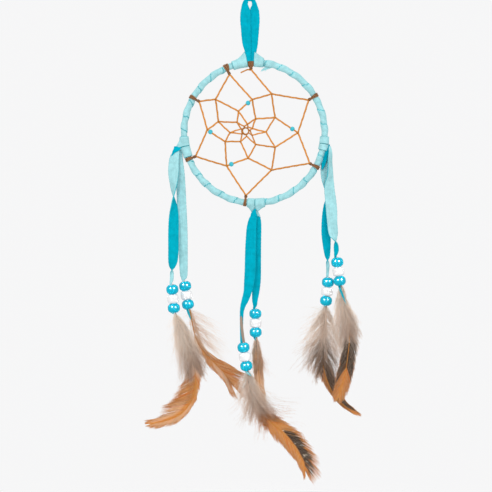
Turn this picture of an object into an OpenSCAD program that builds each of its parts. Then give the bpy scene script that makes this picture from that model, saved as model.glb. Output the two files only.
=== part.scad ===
// Hanging dream catcher: a suede-wrapped hoop with a knotted web, hung from a doubled suede strip, with three
// pairs of suede strands that each end in three pony beads and a feather.
// Origin: the top of the hanging eye, where the nail bears. +X right, +Y to the back, +Z up.

/* [Hoop] */
// Radius of the hoop at the middle of its wire
hoop_r = 50.8; // [50:0.2:52]
// Radius of the steel wire inside the hoop
wire_r = 1.5; // [1.2:0.1:1.6]
// Outer radius of the suede wrap on the wire
wrap_r = 2.4; // [2.3:0.1:2.5]
// Place of the hoop's centre to the right of the hanging eye
hoop_x = 3.2; // [2.8:0.1:3.6]
// Depth of the hoop's centre below the hanging eye
hoop_drop = 94.2; // [94:0.1:94.6]

/* [Web] */
// Radius of the waxed thread
thread_r = 0.48; // [0.4:0.02:0.5]
// Radius of a knot in the thread
web_knot_r = 0.85; // [0.8:0.05:0.9]
// Outer radius of a web bead
seed_r = 1.65; // [1.5:0.05:1.8]
// Length of a web bead
seed_length = 2.6; // [2.2:0.1:2.8]

/* [Suede] */
// Thickness of the suede strips
suede_t = 0.95; // [0.8:0.05:1.0]
// Outer radius of the suede where a hitch wraps the hoop
band_r = 3.4; // [3.3:0.05:3.5]
// Thickness of the doubled strip that the hoop hangs from
loop_t = 1.9; // [1.6:0.1:2.0]

/* [Pony beads] */
// Outer radius of a pony bead
bead_r = 4.35; // [4.2:0.05:4.4]
// Length of a pony bead
bead_length = 6.4; // [6:0.1:6.5]
// Distance between the middles of two neighbouring beads
bead_pitch = 6.5; // [6.5:0.1:6.8]
// Radius of the hole through a pony bead
bead_bore_r = 2; // [1.9:0.05:2.1]
// Corner radius of a pony bead
bead_round = 1.6; // [1.2:0.1:1.8]

/* [Hidden] */
fit_gap = 0.03; // between two faces that touch in the same body
free_gap = 0.4; // between two faces that move past each other
hoop_z = -hoop_drop;
lace_r = 0.75; // narrow end of a strand, inside the beads
lace_shift = -0.85; // sideways place of the lace in a bead's hole
quill_r = 0.65;
quill_shift = 0.75; // sideways place of the quill in a bead's hole
strand_top_y = 1.3; // half the distance between the two strands of a pair, where they leave the bight
strand_bead_y = 3.2; // the same, at the beads
bight_w = 5; // width of a bight
bight_r = 1.1; // radius of the fold at the top of a bight
bight_drop = 5.5; // from a bight's fold to the tops of its strands

// Angles on the hoop, counted from +X towards +Z
LASHINGS = [93, 113, 150.5, 202, 262.5, 331, 31];
LASHING_NAMES = [
    "lashing_top", "lashing_upper_left", "lashing_left", "lashing_lower_left",
    "lashing_bottom", "lashing_right", "lashing_upper_right"
];
LASHING_WIDTHS = [3.8, 3.8, 2.5, 2.5, 2.5, 2.5, 2.8];
lashing_groove_r = 1.8;
lashing_out_r = 2.75;
web_anchor_r = 45.8; // distance of the outer knots from the hoop's centre

// Knots of the web, from the hoop's centre, as [x, z]. Each round hangs on the round outside it.
ROUND_1 = [[12.5, 28], [31.5, 0], [12.5, -27], [-20, -24], [-34, 2], [-28, 24], [-1.5, 24]];
ROUND_2 = [[15, 11], [15, -10.5], [-4.5, -18.5], [-21, -6.5], [-26, 8], [-11.5, 15.5], [1, 10]];
ROUND_3 = [[8.5, 0.5], [1, -8.5], [-10, -6.5], [-17.5, 0], [-12.5, 7.5], [-5, 6], [-1.5, 3]];
EYE = [-6.5, 1]; // middle of the innermost loop
eye_r = 2.6;
// Outer knots, in the order that the thread runs: clockwise from the top
ANCHORS = [for (i = [0, 6, 5, 4, 3, 2, 1]) web_anchor_r * [cos(LASHINGS[i]), sin(LASHINGS[i])]];

// Web beads: name, knot that the thread comes from, knot that it goes to, distance from the first knot
SEEDS = [
    ["web_bead_top", ROUND_1[6], ROUND_2[5], 4.0],
    ["web_bead_left", ROUND_1[4], ROUND_2[3], 2.7],
    ["web_bead_right", ROUND_1[1], ROUND_2[0], 4.8],
    ["web_bead_bottom", ROUND_1[3], ROUND_2[2], 3.6]
];
seed_bore_r = thread_r + 0.32;
flat_w = 0.9; // width of the web's other runs

// Hitches of the pendants: start and end angles of the two bands on the hoop
LEFT_BANDS = [[183.3, 191.1], [191.4, 200.2]];
BOTTOM_BANDS = [[264.2, 270], [270.3, 278.5]];
RIGHT_BANDS = [[345.6, 350.5], [350.8, 356.8]];
LOOP_BANDS = [[82.5, 90.5], [95.7, 108]];

// Fold of each bight, as [x, z]
LEFT_FOLD = [-53.2, -105.3];
BOTTOM_FOLD = [3.6, -150];
RIGHT_FOLD = [59.8, -104.3];

// Doubled strip that the hoop hangs from
neck_x = 0.4;
neck_top_z = -33;
neck_fold_z = -38.6;
neck_w = 4.4;
LOOP_RIGHT_EDGE = [[3.6, 0.8], [5.6, -3], [6.8, -8], [7, -13], [6.6, -19], [6, -25], [4, -30], [2.8, -32.6]];

/* Strands: name, side (-1 front, 1 back), place of the middle bead as [x, z], lean of the beads from upright,
   lace above the beads, quill above the beads, then rows of the strap as [x, z, width, twist] from its top
   and rows of the feather as [x, z, left half width, right half width, half thickness]. */
STRANDS = [
    ["left_front", -1, [-55.3, -214.1], 4.6, 9, 1,
        [[-54, -110.8, 5, 0], [-54.5, -122, 6.5, 0], [-55, -135, 7, 60], [-55.2, -146, 7, 130],
         [-55.2, -158, 7.4, 180], [-55, -174, 7.4, 180], [-55.6, -187, 6.5, 180]],
        [[-53.4, -226.6, 2, 2, 1.5], [-50, -235, 9, 9, 3], [-45, -248, 13, 14, 3.5],
         [-41, -262, 12, 12, 3.2], [-39, -275, 9, 8, 2.4], [-42, -288, 7, 7, 1.6],
         [-51, -296, 7, 7, 1.2], [-62, -300, 5, 5, 1], [-72, -303, 0.6, 0.6, 0.5]]],
    ["left_rear", 1, [-45.9, -211.8], 8.6, 2.6, 1,
        [[-52.4, -110.8, 5, 0], [-51.4, -122, 6, 0], [-50, -136, 7, 0], [-49.2, -152, 7.2, 0],
         [-48.6, -172, 7.2, 0], [-48.2, -188, 7, 0], [-48, -196, 5.5, 0]],
        [[-43.5, -224.4, 2, 2, 1.5], [-42, -232, 8, 9, 3], [-38, -243, 10, 12, 3.4],
         [-32, -254, 9, 11, 2.8], [-24, -263, 6, 9, 1.8], [-14, -275, 0.8, 2, 0.6]]],
    ["bottom_front", -1, [-3.6, -255.8], 8.7, 20, 18,
        [[3, -155.5, 5.4, 0], [1.6, -166, 7, 0], [0.4, -180, 7.6, 0], [-0.2, -196, 7.6, 0],
         [-2, -208, 6.4, 0], [-4.4, -217, 4, 0]],
        [[-1.6, -268.6, 2, 2, 1.5], [-1, -277, 9, 9, 3], [3, -289, 10, 13, 3.5], [10, -299, 9, 13, 3],
         [19, -308, 8, 10, 2.2], [28, -317, 8, 9, 1.6], [35, -327, 6, 6, 1.2],
         [41, -338, 0.6, 0.6, 0.5]]],
    ["bottom_rear", 1, [4.1, -231.9], 0.9, 8, 6,
        [[4.4, -155.5, 5.4, 0], [5, -168, 6.6, 0], [5, -182, 7, 0], [4.8, -196, 6.6, 0], [4, -206, 4.6, 0]],
        [[4.4, -244.6, 2, 2, 1.5], [5, -253, 8, 8, 3], [6, -264, 9, 9, 3.2], [7, -275, 8, 8, 2.6],
         [9, -286, 6, 6, 1.6], [11, -296, 0.6, 0.6, 0.5]]],
    ["right_front", -1, [63.8, -194.5], 7.6, 9, 1,
        [[59.6, -109.8, 5, 0], [57.8, -120, 6.4, 0], [57.4, -130, 7.4, 0], [58.2, -140, 7.8, 0],
         [59, -151, 7.8, 0], [59.5, -160, 7, 0], [60.6, -169, 6, 0]],
        [[65.6, -207.2, 2, 2, 1.5], [67, -215, 8, 8, 3], [70, -228, 9, 10, 3.4], [72, -241, 8, 9, 2.8],
         [71, -254, 7, 7, 2], [69, -266, 6, 6, 1.5], [64, -282, 0.6, 0.6, 0.5]]],
    ["right_rear", 1, [55.9, -209.1], -5.8, 13, 1,
        [[59.4, -109.8, 5, 0], [56.6, -120, 6.2, 0], [55.6, -134, 6.6, 0], [55.2, -150, 6.6, 0],
         [55.2, -166, 6.6, 0], [56.2, -178, 5, 0]],
        [[54.8, -221.8, 2, 2, 1.5], [54, -231, 9, 8, 3], [53, -244, 11, 9, 3.4], [53, -257, 9, 8, 3],
         [55, -269, 7, 7, 2.2], [60, -281, 7, 7, 1.6], [68, -290, 5, 5, 1.2], [77, -297, 0.6, 0.6, 0.5]]]
];
LIGHT_STRANDS = ["left_rear", "right_front"]; // their pale side faces the front
PAIRS = ["left", "bottom", "right"];
BEAD_PLACES = ["top", "middle", "bottom"];

SUEDE_LIGHT = [0.64, 0.88, 0.89];
SUEDE_DARK = [0.0, 0.66, 0.76];
WAX_THREAD = [0.78, 0.47, 0.23];
WAX_BROWN = [0.54, 0.29, 0.15];
BEAD_BLUE = [0.0, 0.7, 0.84];
BEAD_WHITE = [0.97, 0.96, 0.96];
SEED_BLUE = [0.3, 0.78, 0.85];
STEEL = [0.72, 0.72, 0.74];
FEATHER_BROWN = [0.66, 0.47, 0.3];

// A smooth curve through rows of numbers: a Catmull-Rom spline, with each span cut into n steps
function between(a, b, c, d, t) =
    0.5 * (2 * b + (c - a) * t + (2 * a - 5 * b + 4 * c - d) * t * t + (3 * b - a - 3 * c + d) * t * t * t);
function smooth(rows, n) = concat(
    [for (i = [0:len(rows) - 2]) for (k = [0:n - 1])
        between(rows[max(i - 1, 0)], rows[i], rows[i + 1], rows[min(i + 2, len(rows) - 1)], k / n)],
    [rows[len(rows) - 1]]
);

// Way of a path at row i, in the XZ plane, and the direction across it
function path_way(rows, i) =
    let (a = rows[max(i - 1, 0)], b = rows[min(i + 1, len(rows) - 1)], way = [b[0] - a[0], b[2] - a[2]])
    way / norm(way);

// Corners of a strip's section and of a feather's section, counter-clockwise
function strip_section(width, thickness) =
    let (w = width / 2, t = thickness / 2, cut = min(0.25, width / 8))
    [[w, -t / 2], [w, t / 2], [w - cut, t], [cut - w, t], [-w, t / 2], [-w, -t / 2], [cut - w, -t], [w - cut, -t]];
function feather_section(left, right, half_t) =
    [for (a = [0:30:330]) [(right - left) / 2 + (left + right) / 2 * cos(a), half_t * sin(a)]];

// Skins a list of sections along rows of [x, y, z, ...]; a section turns by its twist about the path
module skin(rows, sections, twists) {
    n = len(sections[0]);
    last = len(rows) - 1;
    points = [
        for (i = [0:last]) let (way = path_way(rows, i), across = [-way[1], 0, way[0]]) for (p = sections[i])
            [rows[i][0], rows[i][1], rows[i][2]]
            + across * (p[0] * cos(twists[i]) - p[1] * sin(twists[i]))
            + [0, 1, 0] * (p[0] * sin(twists[i]) + p[1] * cos(twists[i]))
    ];
    sides = [
        for (i = [0:last - 1]) for (j = [0:n - 1]) let (a = i * n + j, b = i * n + (j + 1) % n)
            each [[a, b, b + n], [a, b + n, a + n]]
    ];
    caps = [[for (j = [n - 1:-1:0]) j], [for (j = [0:n - 1]) last * n + j]];
    polyhedron(points, concat(sides, caps));
}

// Puts the hoop's plane upright, with its centre in place: x stays x, y becomes z
module on_hoop() {
    translate([hoop_x, 0, hoop_z]) rotate([90, 0, 0]) children();
}

// Part of the hoop's tube between two angles
module hoop_tube(out_r, in_r, from = 0, to = 360) {
    on_hoop() rotate([0, 0, from]) rotate_extrude(angle = to - from, $fn = 180) translate([hoop_r, 0])
        difference() {
            circle(out_r, $fn = 48);
            if (in_r > 0) circle(in_r, $fn = 48);
        }
}

// A sleeve round the hoop's tube at one angle
module hoop_sleeve(angle, width, out_r, in_r) {
    on_hoop() rotate([0, 0, angle]) translate([hoop_r, 0, 0]) rotate([90, 0, 0]) difference() {
        cylinder(h = width, r = out_r, center = true, $fn = 48);
        cylinder(h = width + 1, r = in_r, center = true, $fn = 48);
    }
}

// Wire and wrap
module hoop_wire() {
    color(STEEL) hoop_tube(wire_r, 0);
}

module hoop_wrap() {
    color(SUEDE_LIGHT) difference() {
        hoop_tube(wrap_r, wire_r + fit_gap);
        for (i = [0:len(LASHINGS) - 1])
            hoop_sleeve(LASHINGS[i], LASHING_WIDTHS[i] + 2 * fit_gap, wrap_r + 1, lashing_groove_r);
    }
}

module wrap_end() {
    flap = [3.6, 0.8, 2.2];
    flap_x = 11.8;
    flap_z = -48.4;
    color(SUEDE_LIGHT) translate([flap_x, 0, flap_z]) rotate([0, 20, 0]) cube(flap, center = true);
}

module lashing(i) {
    color(WAX_BROWN) hoop_sleeve(LASHINGS[i], LASHING_WIDTHS[i], lashing_out_r, lashing_groove_r + fit_gap);
}

// A length of round thread between two knots, short of their middles so that it ends inside them
module thread_run(a, b) {
    way = (b - a) / norm(b - a);
    inside = 0.4;
    start = a + inside * way;
    translate([start[0], start[1], 0]) rotate([0, 90, atan2(way[1], way[0])])
        cylinder(h = norm(b - a) - 2 * inside, r = thread_r, $fn = 32);
}

// Outline of a pulled length of thread and of a knot
module run_outline(a, b) {
    translate(a) rotate(atan2(b[1] - a[1], b[0] - a[0])) translate([0, -flat_w / 2]) square([norm(b - a), flat_w]);
}

module knot_outline(at) {
    translate(at) circle(web_knot_r, $fn = 32);
}

// Runs of one round of the web: from each hook to the knot hung between it and the next hook
function round_runs(hooks, knots) = [
    for (i = [0:len(knots) - 1]) each [[hooks[i], knots[i]], [knots[i], hooks[i + 1]]]
];

WEB_RUNS = concat(
    [for (a = ANCHORS) [a, a / web_anchor_r * (hoop_r - lashing_out_r - 2 * fit_gap)]],
    round_runs(concat(ANCHORS, [ROUND_1[0]]), ROUND_1),
    round_runs(concat(ROUND_1, [ROUND_2[0]]), ROUND_2),
    round_runs(concat(ROUND_2, [ROUND_3[0]]), ROUND_3),
    [for (i = [0:2:6]) [ROUND_3[i], EYE + (ROUND_3[i] - EYE) / norm(ROUND_3[i] - EYE) * eye_r]]
);

// A run that holds a bead is round; the others are pulled flat
function holds_bead(run) = len([for (seed = SEEDS) if (seed[1] == run[0] && seed[2] == run[1]) 1]) > 0
    || len([for (seed = SEEDS) if (seed[1] == run[1] && seed[2] == run[0]) 1]) > 0;

module web_thread() {
    color(WAX_THREAD) on_hoop() {
        linear_extrude(height = 2 * thread_r, center = true) {
            for (run = WEB_RUNS) if (!holds_bead(run)) run_outline(run[0], run[1]);
            for (at = concat(ANCHORS, ROUND_1, ROUND_2, ROUND_3)) knot_outline(at);
            translate(EYE) difference() {
                circle(eye_r + flat_w / 2, $fn = 48);
                circle(eye_r - flat_w / 2, $fn = 48);
            }
        }
        for (run = WEB_RUNS) if (holds_bead(run)) thread_run(run[0], run[1]);
    }
}

module web_tail() {
    from = ANCHORS[0] + [-1.2, -1.4];
    to = from + [-4, -6];
    color(WAX_THREAD) on_hoop() thread_run(from, to);
}

// Bead with a round hole, its axis along Z
module bead(out_r, bore_r, length, round_r) {
    half = length / 2;
    rotate_extrude($fn = 64) {
        translate([bore_r, -half]) square([out_r - round_r - bore_r, length]);
        translate([bore_r, -half + round_r]) square([out_r - bore_r, length - 2 * round_r]);
        for (side = [-1, 1]) intersection() {
            translate([out_r - round_r, side * (half - round_r)]) circle(round_r, $fn = 32);
            translate([bore_r, -half]) square([out_r - bore_r, length]);
        }
    }
}

module web_bead(seed) {
    way = (seed[2] - seed[1]) / norm(seed[2] - seed[1]);
    at = seed[1] + seed[3] * way;
    color(SEED_BLUE) on_hoop() translate([at[0], at[1], 0]) rotate([0, 90, atan2(way[1], way[0])])
        bead(seed_r, seed_bore_r, seed_length, 0.6);
}

// Doubled strip that the hoop hangs from, with its knot above the eye
module loop_knot() {
    knot_r = 4.4;
    knot_half_h = 3.5;
    knot_z = 4.9;
    round_r = 2;
    tail = [5.6, suede_t, 12];
    tail_z = 12;
    color(SUEDE_DARK) {
        translate([0, 0, knot_z]) rotate_extrude($fn = 48) {
            translate([0, -knot_half_h]) square([knot_r - round_r, 2 * knot_half_h]);
            translate([0, round_r - knot_half_h]) square([knot_r, 2 * (knot_half_h - round_r)]);
            for (side = [-1, 1]) translate([knot_r - round_r, side * (knot_half_h - round_r)])
                circle(round_r, $fn = 32);
        }
        for (side = [-1, 1]) translate([side * 2, side * 0.6, tail_z]) rotate([0, side * 14, 0])
            cube(tail, center = true);
    }
}

module loop_strap() {
    right = smooth(LOOP_RIGHT_EDGE, 4);
    // the left edge mirrors the right one about a line that runs from the eye to the neck
    left = [for (i = [len(right) - 1:-1:0])
        [2 * neck_x * min(1, right[i][1] / neck_top_z) - right[i][0], right[i][1]]];
    eye_top_r = 1.3;
    color(SUEDE_DARK) rotate([90, 0, 0]) difference() {
        linear_extrude(height = loop_t, center = true) polygon(concat(right, left));
        translate([0, -eye_top_r, 0]) cylinder(h = 9, r = eye_top_r, center = true, $fn = 32);
        linear_extrude(height = 9, center = true)
            polygon([[-eye_top_r, -eye_top_r], [eye_top_r, -eye_top_r], [1, -4], [0.3, -5.6], [-0.3, -5.6], [-1, -4]]);
    }
}

module loop_neck() {
    color(SUEDE_DARK) {
        translate([neck_x, 0, neck_fold_z]) rotate([0, 90, 0])
            cylinder(h = neck_w, r = loop_t / 2, center = true, $fn = 32);
        translate([neck_x - neck_w / 2, -loop_t / 2, neck_fold_z]) cube([neck_w, loop_t, neck_top_z - neck_fold_z]);
    }
}

module loop_hitch() {
    shoulder_t = 2.4;
    top = neck_fold_z - 0.7;
    color(SUEDE_DARK) {
        for (band = LOOP_BANDS) hoop_tube(band_r, wrap_r + fit_gap, band[0], band[1]);
        difference() {
            rotate([90, 0, 0]) linear_extrude(height = shoulder_t, center = true)
                polygon([[-10.5, -43], [-9, -41.4], [-3.4, top], [4.6, top], [8.4, -41], [9.2, -42.4], [2, -42]]);
            hoop_tube(lashing_out_r + 0.15, 0);
            translate([neck_x, 0, neck_fold_z]) rotate([0, 90, 0])
                cylinder(h = 20, r = loop_t / 2 + free_gap, center = true, $fn = 32);
        }
    }
}

// Lark's head of a pendant: two bands round the hoop, with the fold across their outer sides
module pendant_hitch(bands) {
    bridge_out_r = 3.9;
    bridge_in_r = 2.9;
    middle = (bands[0][1] + bands[1][0]) / 2;
    color(SUEDE_LIGHT) {
        for (band = bands) hoop_tube(band_r, wrap_r + fit_gap, band[0], band[1]);
        on_hoop() rotate([0, 0, middle - 4]) rotate_extrude(angle = 8, $fn = 180) translate([hoop_r, 0])
            intersection() {
                difference() {
                    circle(bridge_out_r, $fn = 48);
                    circle(bridge_in_r, $fn = 48);
                }
                translate([0.8, -5]) square([10, 10]);
            }
    }
}

// Folded top of a pair of strands, which swings under its hitch
module bight(fold) {
    half_y = strand_top_y + suede_t / 2;
    bottom = fold[1] - bight_drop + suede_t / 2 + free_gap;
    color(SUEDE_DARK) translate([fold[0], 0, 0]) {
        translate([0, 0, fold[1]]) rotate([0, 90, 0]) cylinder(h = bight_w, r = bight_r, center = true, $fn = 32);
        translate([-bight_w / 2, -bight_r, bottom]) cube([bight_w, 2 * bight_r, fold[1] - bottom]);
        translate([-bight_w / 2, -half_y, bottom]) cube([bight_w, 2 * half_y, 2.2]);
    }
}

// Puts a strand's beads in place: the middle bead at the origin, its axis up
module at_beads(s) {
    translate([s[2][0], s[1] * strand_bead_y, s[2][1]]) rotate([0, -s[3], 0]) children();
}

// Half the length of a strand's three beads
stack_half = bead_pitch + bead_length / 2;

// A point above or below the middle bead, in the strand's own lean
function bead_point(s, across, up) = [
    s[2][0] + across * cos(s[3]) - up * sin(s[3]),
    s[1] * strand_bead_y,
    s[2][1] + across * sin(s[3]) + up * cos(s[3])
];

module strap(s) {
    front_edge = s[6][0][1];
    lace_top = stack_half + s[4];
    end_point = bead_point(s, lace_shift, lace_top);
    // the strap drifts from its place at the bight to its place at the beads
    drift = [for (r = s[6]) let (f = (r[1] - front_edge) / (end_point[2] - front_edge))
        [r[0], s[1] * (strand_top_y + (strand_bead_y - strand_top_y) * f), r[1], r[2], r[3]]];
    last_twist = s[6][len(s[6]) - 1][3];
    rows = smooth(concat(drift, [[end_point[0], end_point[1], end_point[2], 1.5, last_twist]]), 3);
    is_light = len([for (name = LIGHT_STRANDS) if (name == s[0]) 1]) > 0;
    color(is_light ? SUEDE_LIGHT : SUEDE_DARK) {
        translate([drift[0][0], drift[0][1], drift[0][2]]) rotate([0, 90, 0])
            cylinder(h = s[6][0][2], r = suede_t / 2, center = true, $fn = 32);
        skin(rows, [for (r = rows) strip_section(r[3], suede_t)], [for (r = rows) r[4]]);
        at_beads(s) translate([lace_shift, 0, -stack_half + 0.5])
            cylinder(h = lace_top + stack_half + 0.4, r = lace_r, $fn = 24);
    }
}

module pony_bead(s, k) {
    color(k == 1 ? BEAD_WHITE : BEAD_BLUE) at_beads(s) translate([0, 0, (1 - k) * bead_pitch])
        bead(bead_r, bead_bore_r, bead_length, bead_round);
}

module feather(s) {
    spread_y = 2.2; // how much further out the feather lies than its beads
    quill_end = bead_point(s, quill_shift, -stack_half - 1);
    given = [for (r = s[7]) let (f = min(1, (s[7][0][1] - r[1]) / 12))
        [r[0], s[1] * (strand_bead_y + spread_y * f), r[1], r[2], r[3], r[4]]];
    start = [quill_end[0], quill_end[1], quill_end[2], quill_r, quill_r, quill_r];
    rows = smooth(concat([start], given), 3);
    color(FEATHER_BROWN) {
        skin(rows, [for (r = rows) feather_section(r[3], r[4], r[5])], [for (r = rows) 0]);
        at_beads(s) translate([quill_shift, 0, -stack_half - 1.4])
            cylinder(h = 2 * stack_half + 1.4 + s[5], r = quill_r, $fn = 24);
    }
}

loop_knot();
loop_strap();
loop_neck();
loop_hitch();
hoop_wire();
hoop_wrap();
wrap_end();
web_thread();
web_tail();
for (i = [0:len(LASHINGS) - 1])
    lashing(i);
for (seed = SEEDS)
    web_bead(seed);
pendant_hitch(LEFT_BANDS);  // left_hitch
pendant_hitch(BOTTOM_BANDS);  // bottom_hitch
pendant_hitch(RIGHT_BANDS);  // right_hitch
bight(LEFT_FOLD);  // left_bight
bight(BOTTOM_FOLD);  // bottom_bight
bight(RIGHT_FOLD);  // right_bight
for (s = STRANDS) {
    strap(s);
    for (k = [0:2])
        pony_bead(s, k);
    feather(s);
}
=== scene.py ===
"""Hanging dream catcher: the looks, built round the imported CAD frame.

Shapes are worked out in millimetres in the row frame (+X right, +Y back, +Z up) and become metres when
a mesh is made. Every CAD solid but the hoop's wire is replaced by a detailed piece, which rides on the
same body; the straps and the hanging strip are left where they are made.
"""
import math

import bpy
import numpy as np
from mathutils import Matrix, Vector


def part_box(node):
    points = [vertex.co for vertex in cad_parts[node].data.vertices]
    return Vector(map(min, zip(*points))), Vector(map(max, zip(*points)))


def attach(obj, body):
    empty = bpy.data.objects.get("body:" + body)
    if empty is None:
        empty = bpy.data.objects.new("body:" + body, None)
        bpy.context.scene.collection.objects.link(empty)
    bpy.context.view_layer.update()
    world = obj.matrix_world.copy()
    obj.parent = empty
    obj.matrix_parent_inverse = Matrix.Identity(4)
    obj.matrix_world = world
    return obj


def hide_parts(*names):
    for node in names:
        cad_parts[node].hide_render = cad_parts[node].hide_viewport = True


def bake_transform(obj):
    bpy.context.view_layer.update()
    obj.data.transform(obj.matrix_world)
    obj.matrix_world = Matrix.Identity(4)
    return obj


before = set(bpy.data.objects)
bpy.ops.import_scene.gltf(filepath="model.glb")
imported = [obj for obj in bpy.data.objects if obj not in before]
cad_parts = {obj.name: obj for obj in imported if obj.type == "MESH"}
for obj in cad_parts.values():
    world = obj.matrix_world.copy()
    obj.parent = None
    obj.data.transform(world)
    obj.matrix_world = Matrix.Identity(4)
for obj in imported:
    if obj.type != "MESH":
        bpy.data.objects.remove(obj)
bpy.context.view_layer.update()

MM = 0.001
FRONT = np.array([0.0, -1.0, 0.0])
ACROSS = np.array([1.0, 0.0, 0.0])


# ---------------------------------------------------------------- numbers and curves

def box_mm(node):
    low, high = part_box(node)
    return np.array(low) / MM, np.array(high) / MM


def middle_mm(node):
    low, high = box_mm(node)
    return (low + high) / 2


def unit(v):
    v = np.asarray(v, float)
    return v / np.maximum(np.linalg.norm(v, axis=-1, keepdims=True), 1e-12)


def smooth(rows, steps):
    """A Catmull-Rom curve through rows of numbers, with each span cut into steps."""
    rows = np.asarray(rows, float)
    padded = np.vstack([2 * rows[0] - rows[1], rows, 2 * rows[-1] - rows[-2]])
    t = np.arange(steps)[:, None] / steps
    spans = []
    for a, b, c, d in zip(padded, padded[1:], padded[2:], padded[3:]):
        spans.append(0.5 * (2 * b + (c - a) * t + (2 * a - 5 * b + 4 * c - d) * t**2
                            + (3 * b - a - 3 * c + d) * t**3))
    return np.vstack([*spans, rows[-1:]])


def even(rows, step):
    """The same curve with its rows about one step apart; the first three columns are the place."""
    gaps = np.linalg.norm(np.diff(rows[:, :3], axis=0), axis=1)
    along = np.concatenate([[0], np.cumsum(gaps)])
    wanted = np.linspace(0, along[-1], max(3, int(round(along[-1] / step)) + 1))
    return np.column_stack([np.interp(wanted, along, column) for column in rows.T])


def lengths(points):
    gaps = np.linalg.norm(np.diff(points[:, :3], axis=0), axis=1)
    return np.concatenate([[0], np.cumsum(gaps)])


def ways(points):
    return unit(np.gradient(points[..., :3], axis=-2))


def wave(x, seed, length, octaves=3):
    """Smooth noise along x, between about -1 and 1, whose longest swell has that length."""
    rng = np.random.default_rng(seed)
    total = 0
    for k in range(octaves):
        total = total + np.sin(2 * math.pi * x * 1.9**k / length + rng.uniform(0, 6.3)) / 1.7**k
    return total / 1.8


def step_up(x, low, high):
    t = np.clip((x - low) / (high - low), 0, 1)
    return t * t * (3 - 2 * t)


def profile(rows, x):
    """Numbers read off rows of [x, a, b, ...] at each x."""
    rows = np.asarray(rows, float)
    return [np.interp(x, rows[:, 0], rows[:, k]) for k in range(1, rows.shape[1])]


# ---------------------------------------------------------------- meshes

class Shape:
    """Closed tubes of points, gathered into one mesh."""

    def __init__(self):
        self.points, self.polygons, self.numbers, self.count = [], [], {}, 0

    def add(self, points, closed=False, **numbers):
        """Adds tubes from an array (tubes, rings, corners, 3); closed joins the last ring to the first."""
        points = np.array(points, float)
        points = points[None] if points.ndim == 3 else points
        tubes, rings, corners = points.shape[:3]
        full = {k: np.array(np.broadcast_to(v, (tubes, rings, corners)), float) for k, v in numbers.items()}
        side = np.roll(points, -1, 2) - points
        ahead = np.roll(points, -1, 1) - points
        normal = np.cross(side, ahead)[:, :rings if closed else rings - 1]
        from_middle = (points - points.mean(2, keepdims=True))[:, :normal.shape[1]]
        inside_out = (from_middle * normal).sum((1, 2, 3)) < 0
        points[inside_out] = points[inside_out][:, :, ::-1]
        for values in full.values():
            values[inside_out] = values[inside_out][:, :, ::-1]
        tube = self.count + np.arange(tubes)[:, None, None] * rings * corners
        ring = np.arange(rings if closed else rings - 1)[None, :, None]
        after = (ring + 1) % rings
        corner = np.arange(corners)[None, None, :]
        beside = (corner + 1) % corners
        quads = [tube + ring * corners + corner, tube + ring * corners + beside,
                 tube + after * corners + beside, tube + after * corners + corner]
        self.polygons.append(np.stack(quads, -1).reshape(-1, 4))
        if not closed:
            first = tube[:, 0] + np.arange(corners)[None, ::-1]
            last = tube[:, 0] + (rings - 1) * corners + np.arange(corners)[None, :]
            self.polygons.append(np.vstack([first, last]))
        self.points.append(points.reshape(-1, 3))
        for name in {*self.numbers, *full}:
            values = full[name].ravel() if name in full else np.zeros(points[..., 0].size)
            self.numbers.setdefault(name, [np.zeros(self.count)] if self.count else []).append(values)
        self.count += points[..., 0].size

    def piece(self, name, material):
        mesh = bpy.data.meshes.new(name)
        points = np.concatenate(self.points) * MM
        mesh.vertices.add(len(points))
        mesh.vertices.foreach_set("co", points.astype(np.float32).ravel())
        loops = np.concatenate([p.ravel() for p in self.polygons]).astype(np.int32)
        sizes = np.concatenate([np.full(len(p), p.shape[1]) for p in self.polygons])
        starts = np.concatenate([[0], np.cumsum(sizes)[:-1]]).astype(np.int32)
        mesh.loops.add(len(loops))
        mesh.loops.foreach_set("vertex_index", loops)
        mesh.polygons.add(len(sizes))
        mesh.polygons.foreach_set("loop_start", starts)
        mesh.update(calc_edges=True)
        mesh.validate()
        mesh.shade_smooth()
        for key, values in self.numbers.items():
            attribute = mesh.attributes.new(key, "FLOAT", "POINT")
            attribute.data.foreach_set("value", np.concatenate(values).astype(np.float32))
        mesh.materials.append(material)
        made = bpy.data.objects.new(name, mesh)
        bpy.context.scene.collection.objects.link(made)
        return made


def tube_rings(path, radii, corners, flat=1.0):
    """Rings of an oval tube along a path (or many paths); flat is the second half axis over the first."""
    way = ways(path)
    a = unit(np.cross(way, FRONT))
    b = np.cross(a, way)
    turn = np.linspace(0, 2 * math.pi, corners, endpoint=False)
    radii = np.asarray(radii, float)[..., None, None]
    x, y = np.cos(turn)[:, None], np.sin(turn)[:, None] * flat
    return path[..., None, :] + radii * (x * a[..., None, :] + y * b[..., None, :])


def lathe(shape, outline, centre, axis, steps):
    """Turns a closed outline of [distance from the axis, height] about the axis."""
    axis = unit(axis)
    a = unit(np.cross(axis, FRONT))
    b = np.cross(axis, a)
    turn = np.linspace(0, 2 * math.pi, steps, endpoint=False)[:, None, None]
    outline = np.asarray(outline, float)
    out, up = outline[None, :, :1], outline[None, :, 1:]
    points = centre + up * axis + out * (np.cos(turn) * a + np.sin(turn) * b)
    shape.add(points, closed=True, height=outline[None, :, 1], around=turn[..., 0])


def arc(centre, radii, start, end, steps):
    turn = np.radians(np.linspace(start, end, steps))
    return np.column_stack([centre[0] + radii[0] * np.cos(turn), centre[1] + radii[1] * np.sin(turn)])


def take_place(piece, node, body):
    """The piece rides on the body in the place of a CAD node."""
    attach(piece, body)
    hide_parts(node)


# ---------------------------------------------------------------- materials

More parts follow.
